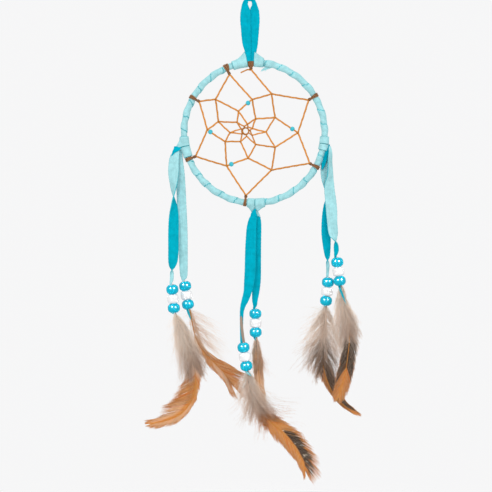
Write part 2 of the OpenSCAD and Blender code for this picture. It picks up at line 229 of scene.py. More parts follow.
class Paint:
    """A material's node tree, with short ways to add the nodes that these materials use."""

    def __init__(self, name, **surface):
        self.material = bpy.data.materials.new(name)
        self.material.use_nodes = True
        self.nodes, self.links = self.material.node_tree.nodes, self.material.node_tree.links
        self.shader = self.nodes["Principled BSDF"]
        for socket, value in surface.items():
            self.shader.inputs[socket.replace("_", " ")].default_value = value

    def new(self, kind, settings=None, **inputs):
        made = self.nodes.new(kind)
        for key, value in (settings or {}).items():
            setattr(made, key, value)
        for key, value in inputs.items():
            socket = made.inputs[int(key[1:])] if key[1:].isdigit() else made.inputs[key.replace("_", " ")]
            self.set(socket, value)
        return made

    def set(self, socket, value):
        if isinstance(value, bpy.types.NodeSocket):
            self.links.new(value, socket)
        else:
            socket.default_value = value

    def number(self, name):
        return self.new("ShaderNodeAttribute", {"attribute_name": name}).outputs["Fac"]

    def maths(self, operation, a, b=0.0, clamp=False):
        settings = {"operation": operation, "use_clamp": clamp}
        return self.new("ShaderNodeMath", settings, i0=a, i1=b).outputs[0]

    def spread(self, x, y, z=0.0, scale=(1, 1, 1)):
        joined = self.new("ShaderNodeCombineXYZ", i0=x, i1=y, i2=z).outputs[0]
        return self.new("ShaderNodeVectorMath", {"operation": "MULTIPLY"}, i0=joined, i1=scale).outputs[0]

    def noise(self, vector, scale, detail=3.0, roughness=0.55):
        made = self.new("ShaderNodeTexNoise", Vector=vector, Scale=scale, Detail=detail, Roughness=roughness)
        return made.outputs["Fac"]

    def ramp(self, share, low, high, first=0.0, last=1.0):
        settings = {"clamp": True}
        return self.new("ShaderNodeMapRange", settings, Value=share, From_Min=low, From_Max=high,
                        To_Min=first, To_Max=last).outputs[0]

    def mix(self, share, a, b, blend="MIX"):
        made = self.new("ShaderNodeMix", {"data_type": "RGBA", "blend_type": blend})
        self.set(made.inputs[0], share)
        self.set(made.inputs[6], a)
        self.set(made.inputs[7], b)
        return made.outputs[2]

    def lit(self, colour, amount):
        """The colour made lighter or darker by a number round 1."""
        grey = self.new("ShaderNodeCombineXYZ", i0=amount, i1=amount, i2=amount).outputs[0]
        return self.mix(1.0, colour, grey, "MULTIPLY")

    def bump(self, height, strength, distance):
        made = self.new("ShaderNodeBump", Strength=strength, Distance=distance * MM, Height=height)
        self.set(self.shader.inputs["Normal"], made.outputs["Normal"])

    def finish(self, colour, roughness=None):
        self.set(self.shader.inputs["Base Color"], colour)
        if roughness is not None:
            self.set(self.shader.inputs["Roughness"], roughness)
        return self.material


GLOSSY = bpy.data.collections.new("glossy")  # the pony beads, which alone catch the two small lamps
STUDIO_LIGHT = 1.22  # how much light falls on a surface that faces the camera


def rgb(text):
    """The linear base colour of a surface that looks like a hex sRGB colour in this studio."""
    levels = np.array([int(text[i:i + 2], 16) for i in (1, 3, 5)]) / 255
    linear = np.where(levels <= 0.04045, levels / 12.92, ((levels + 0.055) / 1.055) ** 2.4)
    return (*(float(x) for x in linear / STUDIO_LIGHT), 1.0)


def suede(name, front, back, edge, seed):
    """Split suede: the front face, the back face and the cut edge differ; nap, streaks and rubbed patches."""
    p = Paint(name, Roughness=0.9, Sheen_Weight=0.02, Sheen_Roughness=0.45, Specular_IOR_Level=0.02)
    along, across, face = p.number("along"), p.number("across"), p.number("face")
    place = p.spread(across, along, p.maths("MULTIPLY", face, 7.0))
    nap = p.noise(place, 4.2, 4.0, 0.65)
    patches = p.noise(p.spread(across, along, seed), 0.33, 3.0)
    streaks = p.noise(p.spread(across, along, seed, (1.3, 0.09, 1.0)), 1.0, 3.0)
    colour = p.mix(p.ramp(face, -0.25, 0.25), back, front)
    on_edge = p.maths("SUBTRACT", 1.0, p.maths("ABSOLUTE", face), clamp=True)
    colour = p.mix(p.ramp(on_edge, 0.15, 0.6), colour, edge)
    shade = p.maths("ADD", p.ramp(nap, 0.25, 0.75, -0.14, 0.1), p.ramp(patches, 0.3, 0.7, -0.14, 0.1))
    shade = p.maths("ADD", shade, p.ramp(streaks, 0.3, 0.7, 0.93, 1.05))
    p.bump(p.maths("ADD", nap, p.maths("MULTIPLY", streaks, 0.6)), 0.55, 0.16)
    return p.finish(p.lit(colour, shade), p.ramp(patches, 0.3, 0.7, 0.8, 0.95))


def sinew(name, light, deep, brown):
    """Waxed thread: a bundle of fibres with a dull shine, browner where it is knotted and lashed."""
    p = Paint(name, Specular_IOR_Level=0.02)
    along, around, knot = p.number("along"), p.number("around"), p.number("knot")
    fibres = p.noise(p.spread(p.maths("MULTIPLY", around, 1.6), along, 0.0, (1, 0.35, 1)), 2.2, 3.0, 0.6)
    patches = p.noise(p.spread(along, knot), 0.35, 2.0)
    colour = p.mix(p.ramp(fibres, 0.35, 0.65), deep, light)
    colour = p.mix(p.ramp(patches, 0.42, 0.62, 0.0, 0.45), colour, light)
    colour = p.mix(p.maths("MULTIPLY", knot, p.ramp(fibres, 0.35, 0.65, 1.0, 0.3)), colour, brown)
    p.bump(fibres, 0.5, 0.12)
    return p.finish(colour, p.ramp(fibres, 0.3, 0.7, 0.5, 0.7))


def moulded(name, light, deep, roughness, seed):
    """Glossy moulded plastic or glass: faint flow marks and fine scuffs."""
    p = Paint(name, Specular_IOR_Level=0.12)
    height, around = p.number("height"), p.number("around")
    place = p.spread(around, height, seed)
    flow = p.noise(p.spread(around, height, seed, (1, 0.5, 1)), 1.1, 2.0)
    scuffs = p.noise(place, 9.0, 4.0, 0.6)
    p.bump(p.maths("ADD", flow, p.maths("MULTIPLY", scuffs, 0.05)), 0.012, 0.1)
    return p.finish(p.mix(p.ramp(flow, 0.3, 0.7), deep, light),
                    p.ramp(scuffs, 0.6, 0.85, roughness, roughness + 0.08))


def plumage(name):
    """Rooster feather: grey-beige down, orange vane, dark patches and pale tips, by each barb's numbers."""
    p = Paint(name, Roughness=0.7, Sheen_Weight=0.6, Sheen_Roughness=0.5, Specular_IOR_Level=0.02)
    p.shader.inputs["Sheen Tint"].default_value = (1.0, 0.84, 0.7, 1)
    shade, warm, dark, pale, tone = (p.number(n) for n in ("shade", "warm", "dark", "pale", "tone"))
    grain = p.noise(p.spread(p.number("along"), p.number("across"), tone), 0.9, 3.0)
    grey = p.mix(shade, (1.0, 0.87, 0.75, 1), rgb("#C79C7F"))
    orange = p.mix(p.ramp(tone, -1, 1), rgb("#F0AA5C"), rgb("#BE651E"))
    colour = p.mix(warm, grey, orange)
    colour = p.mix(dark, colour, rgb("#33261D"))
    colour = p.mix(pale, colour, (1.0, 0.84, 0.64, 1))
    light = p.maths("ADD", p.ramp(grain, 0.3, 0.7, 0.92, 1.06), p.maths("MULTIPLY", tone, 0.24))
    p.bump(grain, 0.3, 0.05)
    return p.finish(p.lit(colour, light))


def quill_horn(name, light, deep):
    p = Paint(name, Specular_IOR_Level=0.03)
    along = p.number("along")
    grain = p.noise(p.spread(along, p.number("around"), 0.0, (0.25, 1.5, 1)), 1.5, 3.0)
    colour = p.mix(p.ramp(grain, 0.35, 0.65), deep, light)
    p.bump(grain, 0.3, 0.08)
    return p.finish(p.mix(p.number("shade"), colour, rgb("#A39182")), p.ramp(grain, 0.3, 0.7, 0.35, 0.5))


def steel(name):
    p = Paint(name, Metallic=1.0)
    place = p.new("ShaderNodeTexCoord").outputs["Object"]
    fine = p.new("ShaderNodeVectorMath", {"operation": "SCALE"}, i0=place, Scale=900.0).outputs[0]
    drawn = p.noise(fine, 1.0)
    p.bump(drawn, 0.2, 0.02)
    return p.finish(p.mix(drawn, rgb("#8E8E93"), rgb("#C4C4C9")), p.ramp(drawn, 0.3, 0.7, 0.25, 0.45))


SUEDE_LIGHT = suede("suede_light", rgb("#AAE2E7"), rgb("#02B0C6"), rgb("#4FC4CF"), 1.0)
SUEDE_DARK = suede("suede_dark", rgb("#00AEC6"), rgb("#A5DEE3"), rgb("#27BCCF"), 5.0)
THREAD = sinew("thread", rgb("#EFA552"), rgb("#C87A2E"), rgb("#7D4A24"))
LASHING = sinew("lashing_thread", rgb("#D09C6E"), rgb("#774C31"), rgb("#54321F"))
BEAD_BLUE = moulded("bead_turquoise", rgb("#00BCD8"), rgb("#00B0CD"), 0.2, 2.0)
BEAD_WHITE = moulded("bead_white", rgb("#F7F6F6"), rgb("#F1F0F1"), 0.2, 4.0)
SEED_BLUE = moulded("seed_bead", rgb("#54CEDD"), rgb("#38BACC"), 0.25, 6.0)
PLUMAGE = plumage("plumage")
HORN = quill_horn("quill", rgb("#E0A057"), rgb("#B06A2C"))
STEEL = steel("wire")


# ---------------------------------------------------------------- the camera, the light and the floor

VIEW_MIDDLE = (-2.8, -176.1)  # x and z at the middle of the picture
VIEW_WIDTH = 355.5  # how much of the object's plane the picture spans
LENS, SENSOR = 100.0, 36.0


def make_camera():
    camera = bpy.data.cameras.new("camera")
    camera.lens, camera.sensor_width = LENS, SENSOR
    camera.clip_start, camera.clip_end = 0.05, 20
    made = bpy.data.objects.new("camera", camera)
    bpy.context.scene.collection.objects.link(made)
    away = VIEW_WIDTH * LENS / SENSOR
    made.location = (VIEW_MIDDLE[0] * MM, -away * MM, VIEW_MIDDLE[1] * MM)
    made.rotation_euler = (math.pi / 2, 0, 0)
    bpy.context.scene.camera = made


def soft_light(name, azimuth, elevation, away, size, power):
    """A square lamp that faces the object from that direction."""
    lamp = bpy.data.lights.new(name, "AREA")
    lamp.shape, lamp.size, lamp.energy = "SQUARE", size, power
    made = bpy.data.objects.new(name, lamp)
    bpy.context.scene.collection.objects.link(made)
    a, e = math.radians(azimuth), math.radians(elevation)
    back = np.array([math.sin(a) * math.cos(e), -math.cos(a) * math.cos(e), math.sin(e)])
    made.location = tuple(np.array([0, 0, -0.2]) + away * back)
    made.rotation_euler = (math.pi / 2 - e, 0, a)
    return made


def make_studio():
    world = bpy.data.worlds.new("studio")
    world.use_nodes = True
    background = world.node_tree.nodes["Background"]
    background.inputs["Color"].default_value = (0.925, 0.925, 0.93, 1)
    background.inputs["Strength"].default_value = 1.0
    bpy.context.scene.world = world
    bpy.context.scene.view_settings.view_transform = "Standard"
    soft_light("key_left", -22, 24, 1.3, 0.16, 3.4)
    soft_light("key_right", 20, 26, 1.3, 0.16, 2.8)
    soft_light("top_fill", 10, 70, 1.4, 0.9, 2.0)
    # two lamps seen only as reflections, which put the pair of bright spots on each bead
    for name, azimuth in (("spark_left", -37), ("spark_right", 37)):
        spark = soft_light(name, azimuth, 18, 1.3, 0.3, 260)
        spark.visible_diffuse = False
        spark.light_linking.receiver_collection = GLOSSY


def make_floor():
    """A pale disc under the object that fades into the background."""
    floor_z, radius, solid = -0.42, 0.44, 0.2
    p = Paint("floor", Roughness=0.9)
    place = p.new("ShaderNodeTexCoord").outputs["Object"]
    far = p.new("ShaderNodeVectorMath", {"operation": "LENGTH"}, i0=place).outputs["Value"]
    grain = p.noise(place, 60.0)
    colour = p.mix(grain, (0.86, 0.86, 0.865, 1), (0.9, 0.9, 0.905, 1))
    p.set(p.shader.inputs["Alpha"], p.ramp(far, solid, radius, 1.0, 0.0))
    p.finish(colour)
    rings, corners = 24, 96
    turn = np.linspace(0, 2 * math.pi, corners, endpoint=False)
    points, faces = [(0.0, 0.0, 0.0)], []
    for i in range(1, rings + 1):
        points += [(radius * i / rings * math.cos(t), radius * i / rings * math.sin(t), 0.0) for t in turn]
    for j in range(corners):
        faces.append((0, 1 + j, 1 + (j + 1) % corners))
    for i in range(rings - 1):
        a = 1 + i * corners
        faces += [(a + j, a + corners + j, a + corners + (j + 1) % corners, a + (j + 1) % corners)
                  for j in range(corners)]
    mesh = bpy.data.meshes.new("floor")
    mesh.from_pydata(points, [], faces)
    mesh.materials.append(p.material)
    floor = bpy.data.objects.new("floor", mesh)
    floor.location = (0, 0, floor_z)
    bpy.context.scene.collection.objects.link(floor)


make_camera()
make_studio()
make_floor()

# ---------------------------------------------------------------- the hoop and its wrap

WIRE_LOW, WIRE_HIGH = box_mm("hoop_wire")
WIRE_R = (WIRE_HIGH[1] - WIRE_LOW[1]) / 2
HOOP = (WIRE_LOW + WIRE_HIGH) / 2
HOOP_R = (WIRE_HIGH[0] - WIRE_LOW[0]) / 2 - WIRE_R
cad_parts["hoop_wire"].data.materials.clear()
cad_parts["hoop_wire"].data.materials.append(STEEL)

# The seven lashings: CAD node, angle on the hoop, width, number of strands, and how much of the width is
# left at the hoop's inner side
LASHINGS = [("lashing_top", 93, 4.4, 6, 0.9), ("lashing_upper_left", 113, 3.8, 5, 0.45),
            ("lashing_left", 150.5, 2.6, 4, 0.5), ("lashing_lower_left", 202, 2.6, 4, 0.5),
            ("lashing_bottom", 262.5, 2.2, 3, 0.6), ("lashing_right", 331, 2.6, 4, 0.5),
            ("lashing_upper_right", 31, 2.6, 4, 0.5)]
# Hitches that lie over the wrap, as start and end angles
HITCHED = [(82, 109), (183, 200.5), (264, 279), (345, 357)]


def hoop_point(angle, out, y):
    """A point by its angle on the hoop in degrees, its distance out from the wire's middle, and y."""
    a = np.radians(angle)
    way = np.stack([np.cos(a), np.zeros_like(a), np.sin(a)], -1)
    return HOOP + (HOOP_R + np.asarray(out))[..., None] * way + np.asarray(y)[..., None] * [0, 1, 0]


def pressed(angle):
    """How far the wrap is pressed in: 1 under a lashing, and a part of that under a hitch."""
    total = np.zeros_like(angle)
    for _, at, width, _, _ in LASHINGS:
        away = np.abs((angle - at + 180) % 360 - 180) * math.radians(1) * HOOP_R
        total = np.maximum(total, np.exp(-((away / (width / 2 + 0.45)) ** 4)))
    for start, end in HITCHED:
        inside = step_up((angle - start) % 360, 0, 2) * step_up((end - angle) % 360, 0, 2)
        total = np.maximum(total, 0.55 * inside * (((angle - start) % 360) < end - start))
    return total


def hoop_wrap():
    """One long strip, wound round the hoop so that each turn lies on the edge of the last."""
    turns, start, end = 29, 100, -262  # start and end are angles on the hoop
    thick, lap = 0.48, 1.25  # lap is the strip's width over the pitch of its turns
    under, pressed_r = 2.24, 1.98  # outer radius where a turn lies on the wire, and where it is pressed in
    pitch = math.radians(start - end) * HOOP_R / turns
    columns, steps = 15, 44  # points across the strip, and rings to a turn
    n = np.linspace(0, turns, turns * steps + 1)
    run = n * 15  # millimetres along the strip, about 15 to a turn
    # the strip moves on along the hoop mostly behind it, so the seams in front are steep
    moved = n + 0.6 * np.sin(2 * math.pi * n) / (2 * math.pi) + 0.1 * wave(n, 3, 4.3)
    turn = 2 * math.pi * n + math.pi / 2
    edge = 0.05 * wave(run, 5, 6.0) + 0.035 * wave(run, 6, 1.7)
    share = np.linspace(0, 1, columns)
    outer, inner = [], []
    for k, w in enumerate(share):
        at = (moved + w * lap + edge * (1 - w)) * pitch
        angle = start - np.degrees(at / HOOP_R)
        lift = thick * (1 - step_up(w, 0.2, 0.48 + 0.08 * wave(n, 8, 2.2)))
        lump = 0.05 * wave(run + 9 * w, 11, 5.5) + 0.04 * wave(at, 12, 3.1)
        radius = under + lift * (0.9 + 0.2 * wave(n, 9, 3.3)) + lump
        round_off = 0.22 * (k == 0)
        press = pressed(angle)
        outside = radius - round_off - press * (radius - pressed_r)
        inside = np.maximum(outside - thick * (1 - 0.35 * press), WIRE_R + 0.03)
        for r, target in ((outside, outer), (inside, inner)):
            target.append(hoop_point(angle, r * np.cos(turn), r * np.sin(turn)))
    ring = np.stack([*outer, *inner[::-1]], 1)
    across = np.concatenate([share, share[::-1]]) * pitch * lap
    face = np.concatenate([[0.3, 0.85], np.ones(columns - 3), [0], [0], -np.ones(columns - 2), [-0.2]])
    shape = Shape()
    shape.add(ring, along=run[None, :, None], across=across, face=face)
    piece = shape.piece("hoop_wrap_strip", SUEDE_LIGHT)
    take_place(piece, "hoop_wrap", "hoop")


def strip_rings(rows, thick, across=None, columns=13, curl=0.0, wobble=0.1, seed=0):
    """Rings of a strip along rows of [x, y, z, width, twist]; across is its direction if it doesn't hang."""
    way = ways(rows)
    side = unit(np.cross(way, -FRONT)) if across is None else np.broadcast_to(across, way.shape)
    front = unit(np.cross(way, side))
    side = np.cross(front, way)
    twist = np.radians(rows[:, 4])[:, None]
    turned = side * np.cos(twist) + front * np.sin(twist)
    side, front = turned, front * np.cos(twist) - side * np.sin(twist)
    far = lengths(rows)
    half = rows[:, 3] / 2
    bevel = np.minimum(0.2, half * 0.3)
    u = np.linspace(-1, 1, columns)
    flat = (half - bevel)[:, None] * u
    ragged = [half + np.minimum(0.09, half * 0.06) * wave(far, seed + k, 2.6, 4) for k in (1, 2)]
    rise = thick / 2
    quarter = np.full(len(rows), thick / 4)
    us = np.column_stack([flat, ragged[0], ragged[0], flat[:, ::-1], -ragged[1], -ragged[1]])
    vs = np.column_stack([np.full_like(flat, rise), quarter, -quarter, np.full_like(flat, -rise),
                          -quarter, quarter])
    ratio = us / np.maximum(half[:, None], 0.3)
    bend = (curl * (ratio**2 - 0.4) + wobble * ratio * wave(far, seed + 3, 19.0)[:, None]
            + 0.6 * wobble * np.cos(2.1 * ratio + wave(far, seed + 4, 27.0)[:, None]))
    vs = vs + bend * np.minimum(half[:, None] / 2.5, 1)
    face = np.concatenate([np.ones(columns), [0.25, -0.25], -np.ones(columns), [-0.25, 0.25]])
    points = rows[:, None, :3] + us[..., None] * side[:, None] + vs[..., None] * front[:, None]
    return points, {"along": far[:, None], "across": us + 20 * seed, "face": face}


def add_strip(shape, rows, thick, **options):
    points, numbers = strip_rings(rows, thick, **options)
    shape.add(points, **{k: np.broadcast_to(v, points.shape[:2])[None] for k, v in numbers.items()})


def ragged_end():
    """The wrap's loose end: a frayed sliver under the hoop, right of the top."""
    shape = Shape()
    rows = [[15.6, 0.3, -46.0, 2.6, 10], [13.2, 0.1, -47.0, 2.5, 6], [11.0, -0.2, -47.9, 2.0, -4],
            [9.4, -0.4, -48.9, 1.3, -10], [8.0, -0.6, -50.0, 0.3, -14]]
    add_strip(shape, even(smooth(rows, 6), 0.3), 0.55, columns=7, curl=0.2, wobble=0.25, seed=31)
    rows = [[12.6, -0.2, -47.5, 1.1, 0], [11.6, -0.5, -48.7, 0.8, 0], [10.9, -0.8, -49.9, 0.2, 0]]
    add_strip(shape, even(smooth(rows, 6), 0.3), 0.4, columns=5, curl=0.1, wobble=0.2, seed=33)
    piece = shape.piece("wrap_loose_end", SUEDE_LIGHT)
    take_place(piece, "wrap_end", "hoop")


hoop_wrap()
ragged_end()

# ---------------------------------------------------------------- the web

ANCHOR_R = 45.8
# Knots of the web from the hoop's centre as [x, z], the same as the CAD web's; the last round is finer
ROUND_1 = [[12.5, 28], [31.5, 0], [12.5, -27], [-20, -24], [-34, 2], [-28, 24], [-1.5, 24]]
ROUND_2 = [[15, 11], [15, -10.5], [-4.5, -18.5], [-21, -6.5], [-26, 8], [-11.5, 15.5], [1, 10]]
ROUND_3 = [[8.5, 0.5], [1, -8.5], [-10, -6.5], [-17.5, 0], [-12.5, 7.5], [-5, 6], [-1.5, 3]]
ROUND_4 = [[-1.6, -1.9], [-5.6, -2.5], [-9.0, -1.0], [-9.5, 2.7], [-7.4, 4.6], [-4.6, 4.1], [-3.0, 1.6]]
EYE, EYE_R = [-6.4, 1.2], 2.2
ANCHOR_ANGLES = [93, 31, 331, 262.5, 202, 150.5, 113]  # in the order that the thread runs
THREAD_R = 0.62


def web_point(at, y=0.0):
    return HOOP + np.array([at[0], y, at[1]])


def add_thread(shape, points, radius, knot=0.0, seed=0, flat=0.7, step=0.45):
    """A length of sinew: a flattened bundle with lobes that twist slowly along it."""
    path = even(np.asarray(points, float), step)
    far = lengths(path)
    corners = 12
    size = radius * (1 + 0.09 * wave(far, seed, 6.0) + 0.05 * wave(far, seed + 1, 1.3))
    spin = far / 4.5 + seed
    rings = tube_rings(path, np.ones(len(path)), corners)
    middle = path[:, None, :]
    turn = np.linspace(0, 2 * math.pi, corners, endpoint=False)
    lobed = 1 + 0.11 * np.cos(5 * (turn[None] + spin[:, None]))
    squash = np.stack([np.cos(turn), np.sin(turn)], -1)
    oval = 1 / np.sqrt(squash[:, 0] ** 2 + (squash[:, 1] / flat) ** 2)
    rings = middle + (rings - middle) * (size[:, None] * lobed * oval[None])[..., None]
    shape.add(rings, along=(far + 13 * seed)[None, :, None], around=turn, knot=knot)


def add_knot(shape, centre, axis, radius, turns, tube, seed):
    """A few tight turns of thread round an axis."""
    axis = unit(axis)
    a = unit(np.cross(axis, [0.0, 1.0, 0.3]))
    b = np.cross(axis, a)
    t = np.linspace(0, 1, int(22 * turns))
    angle = 2 * math.pi * turns * t + seed
    rise = (t - 0.5) * turns * tube * 1.25
    wide = radius * (1 + 0.12 * np.sin(3 * math.pi * t + seed))
    path = centre + rise[:, None] * axis + (wide * np.cos(angle))[:, None] * a
    path = path + (wide * np.sin(angle))[:, None] * b
    add_thread(shape, path, tube, knot=0.9, seed=seed, flat=0.85, step=0.3)


def half_hitch(shape, before, at, after, seed, size):
    """The loop that holds one corner of the web, wound round the line between the two threads that meet."""
    inward = unit(unit(before - at) + unit(after - at))
    add_knot(shape, at, inward, 0.5 * size, 1.8, 0.3 * size, seed)


def web():
    shape = Shape()
    anchors = []
    for angle in map(math.radians, ANCHOR_ANGLES):
        anchors.append([ANCHOR_R * math.cos(angle), ANCHOR_R * math.sin(angle)])
    seed = 0
    rounds = [anchors, ROUND_1, ROUND_2, ROUND_3, ROUND_4]
    radii = [THREAD_R, THREAD_R, THREAD_R * 0.94, THREAD_R * 0.84]
    for level, (hooks, knots) in enumerate(zip(rounds, rounds[1:])):
        hooks = [*hooks, knots[0]]
        for i, at in enumerate(knots):
            seed += 1
            lift = 0.18 * (-1) ** (level + i)
            before, after = web_point(hooks[i], -lift), web_point(hooks[i + 1], -lift)
            here = web_point(at, lift)
            bow = 0.12 * (-1) ** i
            for k, (a, b) in enumerate(((before, here), (here, after))):
                mid = (a + b) / 2 + bow * unit(np.cross(b - a, FRONT))
                waxed = (0, 0.3, 0.12)[(2 * i + k + level) % 3]
                add_thread(shape, smooth([a, mid, b], 12), radii[level], knot=waxed, seed=seed * 2 + k,
                           flat=0.68)
            half_hitch(shape, before, here, after, seed, 1.05 - 0.06 * level)
    middle = web_point(EYE)
    turn = np.linspace(0, 2 * math.pi * 2.6, 90)
    wander = EYE_R * (1 + 0.1 * np.sin(turn * 1.3)) + 0.35 * turn / turn[-1]
    ring = middle + np.stack([wander * np.cos(turn), 0.3 * np.sin(turn * 0.8), wander * np.sin(turn)], -1)
    add_thread(shape, ring, 0.45, knot=0.55, seed=77)
    for i, at in enumerate(ROUND_4):
        knot = web_point(at)
        near = middle + unit(knot - middle) * (EYE_R + 0.3)
        add_thread(shape, [knot, (knot + near) / 2, near], 0.42, knot=0.5, seed=90 + i, step=0.3)
        add_knot(shape, near, np.cross(unit(knot - middle), FRONT), 0.5, 1.3, 0.3, 60 + i)
    piece = shape.piece("web", THREAD)
    take_place(piece, "web_thread", "hoop")


def lashings():
    """Strands that pass round the hoop and fan out from the knot inside it, in their own piece each."""
    for index, (node, angle, width, strands, inside) in enumerate(LASHINGS):
        shape = Shape()
        a = math.radians(angle)
        out = np.array([math.cos(a), 0, math.sin(a)])
        along = np.array([-math.sin(a), 0, math.cos(a)])
        tube = HOOP + HOOP_R * out
        inner = ANCHOR_R - HOOP_R
        loose = np.random.default_rng(200 + index)
        # rows: distance out from the wire's middle, y, share of the strand's own sideways place
        near, half = 0.4 * inside, (1 + inside) / 2
        loop = [[inner, 0.0, 0.1], [inner * 0.72, -0.75, near], [-2.2, -1.75, inside], [-0.9, -2.35, half],
                [0.9, -2.4, 1], [2.15, -1.3, 1], [2.5, 0, 1], [2.15, 1.3, 1], [0.9, 2.4, 1],
                [-0.9, 2.35, half], [-2.2, 1.75, inside], [inner * 0.72, 0.75, near], [inner, 0.0, 0.1]]
        for k in range(strands):
            place = (k / (strands - 1) - 0.5) * (width - 0.7) + loose.uniform(-0.12, 0.12)
            grow = 1 + 0.05 * (k % 2) + loose.uniform(0, 0.03)
            path = [tube + out * r * (grow if r > -2 else 1) + np.array([0, y * grow, 0]) + along * place * f
                    for r, y, f in loop]
            add_thread(shape, smooth(path, 8), 0.42, knot=0.55 + 0.4 * (k % 2), seed=300 + 9 * index + k,
                       flat=0.8, step=0.35)
        neck = tube + out * (inner * 0.86)
        add_knot(shape, neck, out, 0.7 + 0.5 * near, 3.4, 0.38, 400 + index)
        piece = shape.piece(node + "_turns", LASHING)
        take_place(piece, node, "hoop")


def web_tail():
    shape = Shape()
    start = web_point([-2.6, 45.2])
    bends = ([0, 0, 0], [-2.2, -0.5, 0.2], [-4.6, -0.9, -0.7], [-7.2, -1.1, -2.1])
    path = smooth([start + bend for bend in bends], 8)
    add_thread(shape, path, 0.5, knot=0.35, seed=501, flat=0.5)
    piece = shape.piece("web_loose_end", THREAD)
    take_place(piece, "web_tail", "hoop")


web()
lashings()
web_tail()

# ---------------------------------------------------------------- beads


def bead_outline(out_r, bore_r, half, fullness, lip):
    """Outline of a barrel bead: its bore, rounded lips and a bellied side; a higher fullness is squarer."""
    heights = np.sin(np.linspace(0, 1, 15) * math.pi / 2) * half * 0.985
    belly = out_r * (1 - (heights / half) ** fullness) ** (1 / fullness)
    belly = np.maximum(belly, bore_r + 2 * lip)
    lips = arc((bore_r + lip, half - lip), (lip, lip), 90, 180, 6)
    upper = np.vstack([np.column_stack([belly, heights])[1:], lips])
    return np.vstack([[out_r, 0], upper, upper[::-1] * [1, -1]])


def strand_axis(strand):
    """Middle of a strand's beads and the direction up through them."""
    top, low = middle_mm(strand + "_bead_top"), middle_mm(strand + "_bead_bottom")
    return (top + low) / 2, unit(top - low)


def web_beads():
    runs = {"web_bead_top": (ROUND_1[6], ROUND_2[5]), "web_bead_left": (ROUND_1[4], ROUND_2[3]),
            "web_bead_right": (ROUND_1[1], ROUND_2[0]), "web_bead_bottom": (ROUND_1[3], ROUND_2[2])}
    outline = bead_outline(1.72, 0.8, 1.5, 2.3, 0.15)
    for node, (start, end) in runs.items():
        shape = Shape()
        lathe(shape, outline, middle_mm(node), web_point(end) - web_point(start), 48)
        piece = shape.piece(node + "_glass", SEED_BLUE)
        take_place(piece, node, node)


STRANDS = ["left_front", "left_rear", "bottom_front", "bottom_rear", "right_front", "right_rear"]
BEAD_HALF, BEAD_PITCH = 3.2, 6.5
OUTER_END = 0.22  # half of how much longer the coloured beads are than the white ones, at their outer ends
STACK_HALF = BEAD_PITCH + BEAD_HALF


def pony_beads():
    coloured = bead_outline(4.4, 2.0, BEAD_HALF + OUTER_END, 2.8, 0.35)
    plain = bead_outline(4.25, 2.0, BEAD_HALF, 4.2, 0.35)
    for s, strand in enumerate(STRANDS):
        _, up = strand_axis(strand)
        for k, place in enumerate(("top", "middle", "bottom")):
            node = f"{strand}_bead_{place}"
            rng = np.random.default_rng(600 + 10 * s + k)
            lean = unit(up + rng.uniform(-0.035, 0.035, 3) * [1, 1, 0])
            white = place == "middle"
            shape = Shape()
            outward = {"top": OUTER_END, "middle": 0, "bottom": -OUTER_END}[place]
            outline = (plain if white else coloured) * [1, 0.985]
            lathe(shape, outline, middle_mm(node) + up * outward, lean, 80)
            piece = shape.piece(node + "_moulded", BEAD_WHITE if white else BEAD_BLUE)
            GLOSSY.objects.link(piece)
            take_place(piece, node, strand + "_beads")


web_beads()
pony_beads()

# ---------------------------------------------------------------- hitches, folds and straps

SUEDE_T = 0.9
CUFF_R, CUFF_T = 3.3, 0.75  # outer radius round the wire's middle, and thickness


def add_cuff(shape, start, end, peak, lean, seed):
    """A strip that goes round the hoop from angle start to end. peak rows of [angle, height] draw it out
    to a ridge that points away from the hoop's centre, and lean moves that ridge along the hoop."""
    columns, steps = 17, 96
    angle = np.linspace(start, end, columns)
    turn = np.linspace(-math.pi, math.pi, steps, endpoint=False)[:, None]
    height = profile(peak, angle)[0][None]
    edge = np.minimum(np.arange(columns), np.arange(columns)[::-1])[None]
    rounded = np.where(edge == 0, 0.16, 0.0)
    sides = []
    for inset in (0.0, CUFF_T):
        r = CUFF_R - inset + 0.07 * wave(turn * 2.4 + angle[None] * 0.35, seed, 2.6) * (inset == 0)
        tip = r + np.maximum(height - inset * 0.6, 0)
        hold = np.arccos(np.clip(r / np.maximum(tip, r), 0, 1))
        out = r / np.cos(np.clip(hold - np.abs(turn), 0, 1.45))
        out = out - (rounded if inset == 0 else -rounded * 0.3)
        crease = 0.1 * np.sin(angle[None] * 2.3 + 3 * turn + seed) * step_up(out - r, 0.3, 2.5)
        moved = angle[None] + lean * np.maximum(out - r, 0) / math.radians(1) / HOOP_R + 0 * turn
        sides.append(hoop_point(moved, out * np.cos(turn), out * np.sin(turn) + crease))
    ring = np.concatenate([sides[0], sides[1][:, ::-1]], 1)
    face = np.concatenate([[0.3], np.ones(columns - 2), [0.3], [-0.3], -np.ones(columns - 2), [-0.3]])
    arc_mm = np.radians(angle) * HOOP_R
    across = np.concatenate([arc_mm, arc_mm[::-1]])
    shape.add(ring, closed=True, along=turn * CUFF_R + 17 * seed, across=across, face=face)


